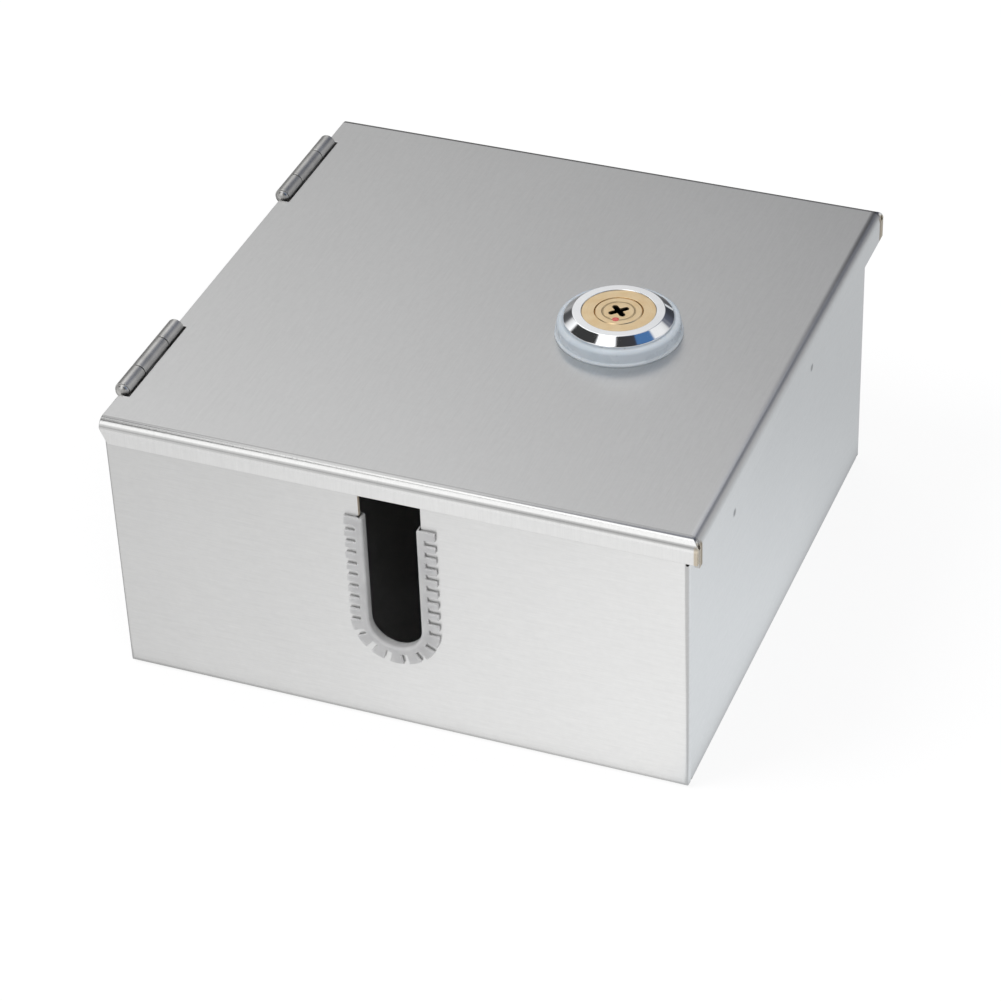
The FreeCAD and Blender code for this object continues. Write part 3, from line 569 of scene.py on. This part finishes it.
def soften(piece, width, segments=2):
    """Small rounding on the weighed edges, shaded so that flat faces stay flat."""
    bevel = piece.modifiers.new("edges", "BEVEL")
    bevel.width = width
    bevel.segments = segments
    bevel.limit_method = "WEIGHT"
    bevel.use_clamp_overlap = False
    shading = piece.modifiers.new("shading", "WEIGHTED_NORMAL")
    shading.weight = 80
    shading.keep_sharp = True
    return piece


def restyle(node, materials, width, segments=2, directions=None, mark=None, share=None):
    """A piece that stands for a CAD node, with softened edges and its own materials."""
    mesh = node_mesh(node)
    if directions:
        lay_grain(mesh, directions)
    if mark:
        for face in mesh.faces:
            face.material_index = mark(face)
    weigh_edges(mesh, width, share)
    piece = add_piece(node + "_finish", mesh, BODY_OF[node], materials, [node])
    return soften(piece, width, segments)


def rounded_profile(corners, steps=6):
    """Points of a turned outline whose (radius, height, rounding) corners are replaced by arcs."""
    points = []
    for index, (radius, height, rounding) in enumerate(corners):
        here = Vector((radius, height))
        if rounding == 0 or index in (0, len(corners) - 1):
            points.append((radius, height))
            continue
        before = (Vector(corners[index - 1][:2]) - here).normalized()
        after = (Vector(corners[index + 1][:2]) - here).normalized()
        half = before.angle(after) / 2
        setback = rounding / tan(half)
        middle = here + (before + after).normalized() * (rounding / sin(half))
        first, last = here + before * setback - middle, here + after * setback - middle
        for step in range(steps + 1):
            points.append(tuple(middle + first.slerp(last, step / steps).normalized() * rounding))
    return points


def turned_mesh(profile, centre, axis, segments):
    """Round mesh from (radius, distance along the axis) points."""
    mesh = bmesh.new()
    points = [mesh.verts.new((radius, 0, along)) for radius, along in profile]
    edges = [mesh.edges.new(pair) for pair in zip(points, points[1:])]
    bmesh.ops.spin(mesh, geom=points + edges, cent=(0, 0, 0), axis=(0, 0, 1), angle=2 * pi, steps=segments,
                   use_merge=True, use_duplicate=False)
    bmesh.ops.remove_doubles(mesh, verts=mesh.verts, dist=MERGE_DISTANCE)
    bmesh.ops.recalc_face_normals(mesh, faces=mesh.faces)
    turn = Vector((0, 0, 1)).rotation_difference(Vector(axis)).to_matrix().to_4x4()
    bmesh.ops.transform(mesh, matrix=Matrix.Translation(centre) @ turn, verts=mesh.verts)
    return mesh


def turned_piece(name, profile, centre, axis, segments, body, material, nodes=()):
    """Round piece with flat faces shaded flat."""
    mesh = turned_mesh(profile, centre, axis, segments)
    piece = add_piece(name, mesh, body, [material], nodes)
    piece.modifiers.new("shading", "WEIGHTED_NORMAL").weight = 80
    return piece


def append_faces(mesh, source):
    """Copies the faces of one mesh into another."""
    source.verts.index_update()
    copies = [mesh.verts.new(vertex.co) for vertex in source.verts]
    for face in source.faces:
        mesh.faces.new([copies[vertex.index] for vertex in face.verts])


def join_rims(mesh, inside):
    """Closes the gap between the open rims that the test picks, by the distance from the lock's axis."""
    rims = [edge for edge in mesh.edges if len(edge.link_faces) == 1
            and inside(max(Vector((v.co.x - LOCK_X, v.co.y - LOCK_Y)).length for v in edge.verts))]
    bmesh.ops.bridge_loops(mesh, edges=rims)


HEAD_LOW, HEAD_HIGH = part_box("lock_housing")
HEAD_RADIUS = (HEAD_HIGH[0] - HEAD_LOW[0]) / 2
HEAD_HEIGHT = 1.75 * MM
HEAD_TAPER = 1.75 * MM
HEAD_BASE = HEAD_HIGH[2] - HEAD_HEIGHT
HEAD_TOP_RADIUS = HEAD_RADIUS - HEAD_TAPER
HEAD_RIM = 0.35 * MM
HEAD_JOIN = 0.05 * MM
BORE_RADIUS = 7.33 * MM
BODY_EDGE = 0.2 * MM
ROUND_STEPS = 128


def lock_housing(material):
    """Turned lock head with rounded edges on the CAD barrel."""
    top = HEAD_HIGH[2]
    profile = rounded_profile([
        (BORE_RADIUS, HEAD_BASE, 0), (BORE_RADIUS, top, 0.12 * MM), (HEAD_TOP_RADIUS, top, 0.30 * MM),
        (HEAD_RADIUS, HEAD_BASE + HEAD_RIM, 0.25 * MM), (HEAD_RADIUS, HEAD_BASE, 0.1 * MM),
        (BARREL_RADIUS, HEAD_BASE, 0)])
    mesh = turned_mesh(profile, (LOCK_X, LOCK_Y, 0), (0, 0, 1), ROUND_STEPS)
    barrel = node_mesh("lock_housing")
    bmesh.ops.bisect_plane(barrel, geom=barrel.verts[:] + barrel.edges[:] + barrel.faces[:],
                           plane_co=(0, 0, HEAD_BASE - HEAD_JOIN), plane_no=(0, 0, 1), clear_outer=True)
    append_faces(mesh, barrel)
    barrel.free()
    join_rims(mesh, lambda reach: reach < BORE_RADIUS + HEAD_JOIN)
    join_rims(mesh, lambda reach: reach > BORE_RADIUS + HEAD_JOIN)
    bmesh.ops.recalc_face_normals(mesh, faces=mesh.faces)
    barrel_top = HEAD_BASE - 2 * HEAD_JOIN
    weigh_edges(mesh, BODY_EDGE, lambda edge: float(max(v.co.z for v in edge.verts) < barrel_top))
    node = "lock_housing"
    piece = add_piece(node + "_finish", mesh, BODY_OF[node], [material], [node])
    return soften(piece, BODY_EDGE)


GASKET_CLEARANCE = 0.15 * MM
GASKET_LIP = 0.5 * MM
GASKET_STEP = 0.45 * MM


def lock_gasket(material):
    """Spacer ring with a rounded shoulder and a thin lip where it meets the lid."""
    low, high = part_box("lock_gasket")
    radius = (high[0] - low[0]) / 2
    lip, shoulder = GASKET_LIP, radius - GASKET_STEP
    inner = BARREL_RADIUS + GASKET_CLEARANCE
    profile = rounded_profile([
        (inner, low[2], 0), (radius, low[2], 0.1 * MM), (radius, low[2] + lip, 0.18 * MM),
        (shoulder, low[2] + 1.2 * lip, 0.2 * MM), (shoulder, high[2], 0.8 * MM), (inner, high[2], 0),
        (inner, low[2], 0)])
    node = "lock_gasket"
    turned_piece(node + "_finish", profile, (LOCK_X, LOCK_Y, 0), (0, 0, 1), ROUND_STEPS, BODY_OF[node],
                 material, [node])


def plug_share(edge):
    """No rounding inside the key slot, so that the plug's face stays even round it."""
    for vertex in edge.verts:
        if Vector((vertex.co.x - LOCK_X, vertex.co.y - LOCK_Y)).length > RING_GROOVE:
            return 1.0
    return 0.0


OPEN_CORNER = 3.0 * MM


def lid_share(edge):
    """No rounding where the bends end at the lid's open corners, which are too fine for it."""
    for vertex in edge.verts:
        x, y, z = vertex.co
        from_end = min(y - LID_LOW[1], LID_HIGH[1] - y)
        if from_end > OPEN_CORNER or x < LID_HIGH[0] - OPEN_CORNER or z < LID_HIGH[2] - OPEN_CORNER:
            return 1.0
    return 0.0


NOTCH_REACH = 3.0 * MM


def shell_share(edge):
    """No rounding in the small notches under the tray's corners."""
    for vertex in edge.verts:
        x, y, z = vertex.co
        near = abs(x) > SHELL_HALF_WIDTH - NOTCH_REACH and abs(y) > SHELL_HALF_DEPTH - NOTCH_REACH
        if not near or z > NOTCH_REACH:
            return 1.0
    return 0.0


def shell_face_kind(face):
    """3 for the tray's inside, 2 for the slot's burnt edge, 1 for the rim, 0 for the brushed outside."""
    place, normal = face.calc_center_median(), face.normal
    in_front_wall = SHELL_HALF_DEPTH - SHEET < -place.y < SHELL_HALF_DEPTH and abs(normal.y) < 0.1
    if in_front_wall and abs(place.x) < 8 * SHEET:
        return 2
    skin = 0.6 * SHEET
    within_walls = abs(place.x) < SHELL_HALF_WIDTH - skin and abs(place.y) < SHELL_HALF_DEPTH - skin
    if within_walls and place.z > skin:
        return 3
    rim = normal.z > 0.9 and place.z > 0.8 * SHELL_TOP
    return int(rim)


def lid_face_kind(face):
    """1 for the lid's cut edges, 0 for its sheet faces."""
    place, normal = face.calc_center_median(), face.normal
    lip_rim = normal.z < -0.3 and place.z < LID_LOW[2] + 0.9 * (LID_HIGH[2] - LID_LOW[2]) - SHEET
    left_edge = normal.x < -0.3 and place.x < LID_LOW[0] + 5 * SHEET
    between_lips = LID_LOW[1] + SHEET < place.y < LID_HIGH[1] - SHEET
    lip_end = abs(normal.y) > 0.9 and between_lips and place.x > LID_HIGH[0] - 2 * SHEET
    notch_end = abs(normal.y) > 0.9 and between_lips and place.x < LID_LOW[0] + 3 * SHEET
    return int(lip_rim or left_edge or lip_end or notch_end)


TRIM_LOW, TRIM_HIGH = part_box("slot_edge_trim")
TRIM_CENTRE_X = (TRIM_LOW[0] + TRIM_HIGH[0]) / 2
TRIM_RADIUS = (TRIM_HIGH[0] - TRIM_LOW[0]) / 2
TRIM_CENTRE_Z = TRIM_LOW[2] + TRIM_RADIUS
TRIM_BREADTH = 3.85 * MM
NOSE_ROUND = 0.6 * MM
TOOTH_SHARE = 0.4


def trim_share(edge):
    """Full rounding on the strip's edges along the opening, a little on its teeth."""
    inner = TRIM_RADIUS - TRIM_BREADTH
    for vertex in edge.verts:
        side, rise, height = vertex.co.x - TRIM_CENTRE_X, min(vertex.co.z - TRIM_CENTRE_Z, 0), vertex.co.y
        on_face = min(abs(height - TRIM_LOW[1]), abs(height - TRIM_HIGH[1])) < 0.01 * MM
        if not on_face or abs((side * side + rise * rise) ** 0.5 - inner) > 0.05 * MM:
            return TOOTH_SHARE
    return 1.0


PIN_HEAD_HEIGHT = 1.1 * MM
PIN_SHAFT_RADIUS = 0.85 * MM
PIN_POINT = 0.2 * MM
PIN_STEPS = 40


def quarter_arc(radius, height, steps):
    """Quarter of an ellipse, from its middle to its rim."""
    angles = [pi / 2 * step / steps for step in range(steps + 1)]
    return [(radius * sin(angle), height * (1 - cos(angle))) for angle in angles]


def hinge_pin(end, material):
    """Pin with a rounded head, in the place of the plain CAD pin."""
    node = "hinge_pin_" + end
    low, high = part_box(node)
    centre = ((low[0] + high[0]) / 2, low[1], (low[2] + high[2]) / 2)
    length, shaft = high[1] - low[1], PIN_SHAFT_RADIUS
    head = quarter_arc((high[0] - low[0]) / 2, PIN_HEAD_HEIGHT, 10)
    point = [(shaft, length - PIN_POINT), (shaft - PIN_POINT, length), (0, length)]
    profile = head + [(shaft, PIN_HEAD_HEIGHT)] + point
    turned_piece(node + "_finish", profile, centre, (0, 1, 0), PIN_STEPS, BODY_OF[node],
                 material, [node])


PAINT_RADIUS = 0.7 * MM
PAINT_HEIGHT = 0.07 * MM
PAINT_STEPS = 28
PAINT_PLACE = (LOCK_X + 0.4 * MM, LOCK_Y - 3.0 * MM, FACE_Z)


def paint_dot():
    """Red paint mark on the plug's face."""
    dome = [(reach, PAINT_HEIGHT - drop) for reach, drop in quarter_arc(PAINT_RADIUS, PAINT_HEIGHT, 6)]
    turned_piece("plug_paint_mark", dome + [(0, 0)], PAINT_PLACE, (0, 0, 1), PAINT_STEPS, "lock_core",
                 red_paint())


SHEET_EDGE = 0.14 * MM
HINGE_EDGE = 0.12 * MM
BRASS_EDGE = 0.05 * MM
NUT_EDGE = 0.12 * MM
WASHER_EDGE = 0.08 * MM

# Axes along and across the brushing, by the axis that a face looks along
LID_GRAIN = {0: (1, 2), 1: (2, 0), 2: (1, 0)}
SHELL_GRAIN = {0: (1, 2), 1: (0, 2), 2: (0, 1)}


def build_pieces():
    edge = cut_steel()
    lid_steels = [brushed_steel("lid_steel", lid_details), edge]
    restyle("lid_panel", lid_steels, SHEET_EDGE, 2, LID_GRAIN, lid_face_kind, lid_share)
    shell_steels = [brushed_steel("shell_steel", shell_details), edge, burnt_steel(), mill_steel()]
    restyle("box_shell", shell_steels, SHEET_EDGE, 2, SHELL_GRAIN, shell_face_kind, shell_share)
    restyle("lock_strike", [brushed_steel("strike_steel")], SHEET_EDGE, 2, SHELL_GRAIN)
    hinge = hinge_steel()
    for end in ("front", "rear"):
        restyle("hinge_body_leaf_" + end, [hinge], HINGE_EDGE)
        restyle("hinge_lid_leaf_" + end, [hinge], HINGE_EDGE)
        hinge_pin(end, hinge)
    lock_housing(chrome())
    turning = brass()
    restyle("lock_cylinder", [turning], BRASS_EDGE)
    restyle("lock_plug", [turning], BRASS_EDGE, share=plug_share)
    lock_gasket(clear_plastic())
    restyle("slot_edge_trim", [trim_nylon()], NOSE_ROUND, 4, share=trim_share)
    zinc = zinc_steel()
    for node in ("lock_nut", "cam_nut", "lock_cam"):
        restyle(node, [zinc], NUT_EDGE)
    for node in ("lock_washer", "stop_washer", "cam_washer"):
        restyle(node, [zinc], WASHER_EDGE)
    paint_dot()


# Floor, light and camera

WHITE = (1, 1, 1, 1)
FLOOR_SIZE = 6.0
FLOOR_GREY = (0.20, 0.20, 0.20, 1)
FLOOR_BOUNCE = (0.8, 0.8, 0.8, 1)
FLOOR_GLOW = 0.85
FLOOR_MOTTLE = (0.985, 1.0)

# Tone of the floor as the metal mirrors it, and the places between which each part of it fades in
FLOOR_BEFORE = (0.82, 1.30)
BEFORE_SPAN = (-0.11, 0.065)
FLOOR_BESIDE = (1.06, 0.66)
BESIDE_SPAN = (-0.02, 0.11)
FLOOR_BESIDE_TINT = (0.96, 1.0, 1.035, 1)
LOCK_SIDE_X = (0.052, 0.062)
LOCK_SIDE_Y = (-0.075, -0.055)
FLOOR_FAR = (-0.21, -0.29)
FLOOR_FAR_TONE = 0.74
FLOOR_CORNER_TONE = 0.55
CORNER_FADE = 2 * MM
HINGE_SIDE_FADE = 4 * MM
# Painted shadow of the box in the floor's glow close to it, as the metal mirrors it
FLOOR_CLOSE_SHADOW_TONE = 0.5
CLOSE_REACH = (2.5 * MM, 0.3 * MM)


def mirrored_floor(tree, x, y, lock_side):
    """Tone of the floor in the metal: before the box, beside it, at its corners, far off, and darkened close
    to it by a painted shadow.
    """
    before = spread(tree, smooth_step(tree, x, *BEFORE_SPAN), *FLOOR_BEFORE)
    beside = spread(tree, smooth_step(tree, y, *BESIDE_SPAN), *FLOOR_BESIDE)
    change = calc(tree, "MULTIPLY", lock_side, calc(tree, "SUBTRACT", beside, before))
    tone = calc(tree, "ADD", before, change)
    left, right, front = -SHELL_HALF_WIDTH, SHELL_HALF_WIDTH, -SHELL_HALF_DEPTH
    corner = calc(tree, "MULTIPLY", smooth_step(tree, x, right, right + CORNER_FADE),
                  smooth_step(tree, y, front, front - CORNER_FADE))
    hinge_side = calc(tree, "MULTIPLY", smooth_step(tree, x, left, left - CORNER_FADE),
                      smooth_step(tree, y, front, front + HINGE_SIDE_FADE))
    outside = calc(tree, "MAXIMUM", calc(tree, "SUBTRACT", x, right), calc(tree, "SUBTRACT", front, y))
    shades = [
        (calc(tree, "MAXIMUM", corner, hinge_side), FLOOR_CORNER_TONE),
        (smooth_step(tree, y, *FLOOR_FAR), FLOOR_FAR_TONE),
        # painted shadow of the box close to it
        (smooth_step(tree, outside, *CLOSE_REACH), FLOOR_CLOSE_SHADOW_TONE),
    ]
    for share, shade in shades:
        tone = calc(tree, "MULTIPLY", tone, spread(tree, share, 1.0, shade))
    return tone


def floor_glow(tree, in_metal):
    """Light of the floor: white to the camera, with the mirrored tones in the metal."""
    place = object_place(tree)
    x, y, _ = axes_of(tree, place)
    lock_side = calc(tree, "MULTIPLY", smooth_step(tree, x, *LOCK_SIDE_X), smooth_step(tree, y, *LOCK_SIDE_Y))
    change = calc(tree, "SUBTRACT", mirrored_floor(tree, x, y, lock_side), 1.0)
    level = calc(tree, "ADD", 1.0, calc(tree, "MULTIPLY", in_metal, change))
    mottle = spread(tree, noise(tree, place, scale=3.0), *FLOOR_MOTTLE)
    strength = calc(tree, "MULTIPLY", calc(tree, "MULTIPLY", mottle, level), FLOOR_GLOW)
    tint = blend(tree, lock_side, WHITE, FLOOR_BESIDE_TINT)
    glow = new_node(tree, "ShaderNodeEmission")
    feed(tree, glow.inputs["Strength"], strength)
    feed(tree, glow.inputs["Color"], blend(tree, in_metal, WHITE, tint))
    return glow.outputs[0]


def matte(tree, colour):
    node = new_node(tree, "ShaderNodeBsdfDiffuse")
    node.inputs["Color"].default_value = colour
    return node.outputs[0]


def floor_material():
    """Glowing pale grey to the camera and in the metal, plain pale grey to all other light."""
    material = bpy.data.materials.new("floor")
    material.use_nodes = True
    tree = material.node_tree
    tree.nodes.clear()
    path = new_node(tree, "ShaderNodeLightPath")
    seen = new_node(tree, "ShaderNodeAddShader")
    tree.links.new(matte(tree, FLOOR_GREY), seen.inputs[0])
    tree.links.new(floor_glow(tree, path.outputs["Is Glossy Ray"]), seen.inputs[1])
    shown = calc(tree, "MAXIMUM", path.outputs["Is Camera Ray"], path.outputs["Is Glossy Ray"])
    shown = calc(tree, "MAXIMUM", shown, path.outputs["Is Transmission Ray"])
    choice = new_node(tree, "ShaderNodeMixShader")
    tree.links.new(shown, choice.inputs[0])
    tree.links.new(matte(tree, FLOOR_BOUNCE), choice.inputs[1])
    tree.links.new(seen.outputs[0], choice.inputs[2])
    out = new_node(tree, "ShaderNodeOutputMaterial")
    tree.links.new(choice.outputs[0], out.inputs["Surface"])
    return material


def add_floor():
    """Plain pale floor that keeps a faint shadow and reads white to the camera and in the metal."""
    mesh = bmesh.new()
    bmesh.ops.create_grid(mesh, x_segments=1, y_segments=1, size=FLOOR_SIZE)
    data = bpy.data.meshes.new("floor")
    mesh.to_mesh(data)
    mesh.free()
    data.materials.append(floor_material())
    floor = bpy.data.objects.new("floor", data)
    bpy.context.scene.collection.objects.link(floor)


# Tone of the studio round the box, by degrees from the camera's side
STUDIO_BANDS = [
    (-180, (0.80, 0.80, 0.80)), (-156, (0.86, 0.86, 0.86)), (-152, (0.25, 0.25, 0.26)),
    (-140, (0.25, 0.25, 0.26)), (-136, (1.0, 1.0, 1.0)), (-124, (1.0, 1.0, 1.0)),
    (-120, (0.03, 0.03, 0.03)), (-73, (0.03, 0.03, 0.03)), (-69, (1.0, 1.0, 1.0)),
    (-22, (1.0, 1.0, 1.0)), (-18, (0.03, 0.03, 0.03)), (50, (0.03, 0.03, 0.035)),
    (54, (0.05, 0.12, 0.26)), (88, (0.05, 0.12, 0.26)), (92, (0.60, 0.60, 0.60)),
    (119, (0.60, 0.60, 0.60)), (123, (0.10, 0.11, 0.15)), (152, (0.14, 0.15, 0.18)),
    (166, (0.42, 0.42, 0.43)), (173, (0.51, 0.51, 0.51)), (180, (0.74, 0.74, 0.74)),
]

# Heights below are the upward share of a ray's direction
BACKDROP_WIDTH = (radians(122), radians(148))
BACKDROP_RISE = (0.28, 0.82)
BACKDROP_LOW = 0.31
BACKDROP_HIGH = 2.06
OVERHEAD = (0.90, 0.93)
OVERHEAD_SIDE = (-0.06, -0.16)
OVERHEAD_COLOUR = (1.9, 1.9, 1.9, 1)
FRONT_RISE = (0.4, 0.6)
FRONT_HIGH = 1.4
HORIZON = (0.24, 0.16)
HORIZON_TONE = 0.7
LOW_FRONT = (0.44, 0.34)
LOW_FRONT_COLOUR = (0.75, 0.75, 0.75, 1)
LOW_FRONT_WIDTH = (radians(130), radians(118))
SOFT_LIGHT = (0.62, 0.62, 0.63, 1)


def studio_fade(tree, away, z):
    """How much lighter or darker than its bands the studio is, by height, in front and behind."""
    behind = smooth_step(tree, away, *BACKDROP_WIDTH)
    back_lift = spread(tree, smooth_step(tree, z, *BACKDROP_RISE), BACKDROP_LOW - 1, BACKDROP_HIGH - 1)
    rise = calc(tree, "MULTIPLY", smooth_step(tree, z, *FRONT_RISE), FRONT_HIGH - 1)
    horizon = calc(tree, "MULTIPLY", smooth_step(tree, z, *HORIZON), HORIZON_TONE - 1)
    front_lift = calc(tree, "ADD", rise, horizon)
    difference = calc(tree, "MULTIPLY", behind, calc(tree, "SUBTRACT", back_lift, front_lift))
    return calc(tree, "ADD", calc(tree, "ADD", 1.0, front_lift), difference)


def studio_colour(tree):
    """What mirror-like metal shows of the room: bands all round it and a bright panel overhead."""
    x, y, z = axes_of(tree, new_node(tree, "ShaderNodeTexCoord").outputs["Generated"])
    toward = calc(tree, "ADD", calc(tree, "MULTIPLY", x, sin(CAMERA_AZIMUTH)),
                  calc(tree, "MULTIPLY", y, -cos(CAMERA_AZIMUTH)))
    sideways = calc(tree, "ADD", calc(tree, "MULTIPLY", x, cos(CAMERA_AZIMUTH)),
                    calc(tree, "MULTIPLY", y, sin(CAMERA_AZIMUTH)))
    turn = calc(tree, "ARCTAN2", sideways, toward)
    around = calc(tree, "ADD", calc(tree, "DIVIDE", turn, 2 * pi), 0.5)
    bands = ramp(tree, around, [((degrees + 180) / 360, colour) for degrees, colour in STUDIO_BANDS])
    away = calc(tree, "ABSOLUTE", turn)
    low_front = calc(tree, "MULTIPLY", smooth_step(tree, away, *LOW_FRONT_WIDTH),
                     smooth_step(tree, z, *LOW_FRONT))
    bands = blend(tree, low_front, bands, LOW_FRONT_COLOUR)
    studio = blend(tree, 1.0, bands, grey_of(tree, studio_fade(tree, away, z)), "MULTIPLY")
    overhead = calc(tree, "MULTIPLY", smooth_step(tree, z, *OVERHEAD),
                    smooth_step(tree, sideways, *OVERHEAD_SIDE))
    return blend(tree, overhead, studio, OVERHEAD_COLOUR)


def add_world():
    """Soft white room: white to the camera, with darker panels that only mirror-like metal shows."""
    world = bpy.data.worlds.new("studio")
    bpy.context.scene.world = world
    world.use_nodes = True
    tree = world.node_tree
    tree.nodes.clear()
    path = new_node(tree, "ShaderNodeLightPath")
    soft = blend(tree, path.outputs["Is Glossy Ray"], SOFT_LIGHT, studio_colour(tree))
    clear = calc(tree, "MAXIMUM", path.outputs["Is Camera Ray"], path.outputs["Is Transmission Ray"])
    background = new_node(tree, "ShaderNodeBackground")
    feed(tree, background.inputs["Color"], blend(tree, clear, soft, WHITE))
    out = new_node(tree, "ShaderNodeOutputWorld")
    tree.links.new(background.outputs[0], out.inputs["Surface"])


LAMP_TARGET = (0, 0, 0.03)


def add_lamp(name, place, size, watts):
    """Round lamp that looks at the box and that the metal doesn't mirror."""
    lamp = bpy.data.lights.new(name, "AREA")
    lamp.shape = "DISK"
    lamp.size = size
    lamp.energy = watts
    lamp_object = bpy.data.objects.new(name, lamp)
    lamp_object.location = place
    look = Vector(LAMP_TARGET) - Vector(place)
    lamp_object.rotation_euler = look.to_track_quat("-Z", "Y").to_euler()
    lamp_object.visible_glossy = False
    bpy.context.scene.collection.objects.link(lamp_object)


def add_camera():
    """Camera at the place from which the photo was taken, as fitted to the box's straight edges."""
    back = Vector((sin(CAMERA_AZIMUTH) * cos(CAMERA_ELEVATION), -cos(CAMERA_AZIMUTH) * cos(CAMERA_ELEVATION),
                   sin(CAMERA_ELEVATION)))
    right = Vector((cos(CAMERA_AZIMUTH), sin(CAMERA_AZIMUTH), 0))
    up = back.cross(right)
    rolled_right = cos(CAMERA_ROLL) * right + sin(CAMERA_ROLL) * up
    rolled_up = cos(CAMERA_ROLL) * up - sin(CAMERA_ROLL) * right
    turn = Matrix((rolled_right, rolled_up, back)).transposed().to_4x4()
    data = bpy.data.cameras.new("camera")
    data.sensor_width = SENSOR_WIDTH
    data.lens = CAMERA_LENS
    data.clip_start = 0.01
    camera = bpy.data.objects.new("camera", data)
    camera.matrix_world = Matrix.Translation(CAMERA_PLACE) @ turn
    bpy.context.scene.collection.objects.link(camera)
    bpy.context.scene.camera = camera


build_pieces()
add_floor()
add_world()
add_lamp("key", place=(-0.9, -0.6, 1.5), size=0.9, watts=9.0)
add_lamp("fill", place=(0.9, -1.1, 0.9), size=0.7, watts=4.0)
add_camera()
bpy.context.scene.view_settings.view_transform = "Standard"
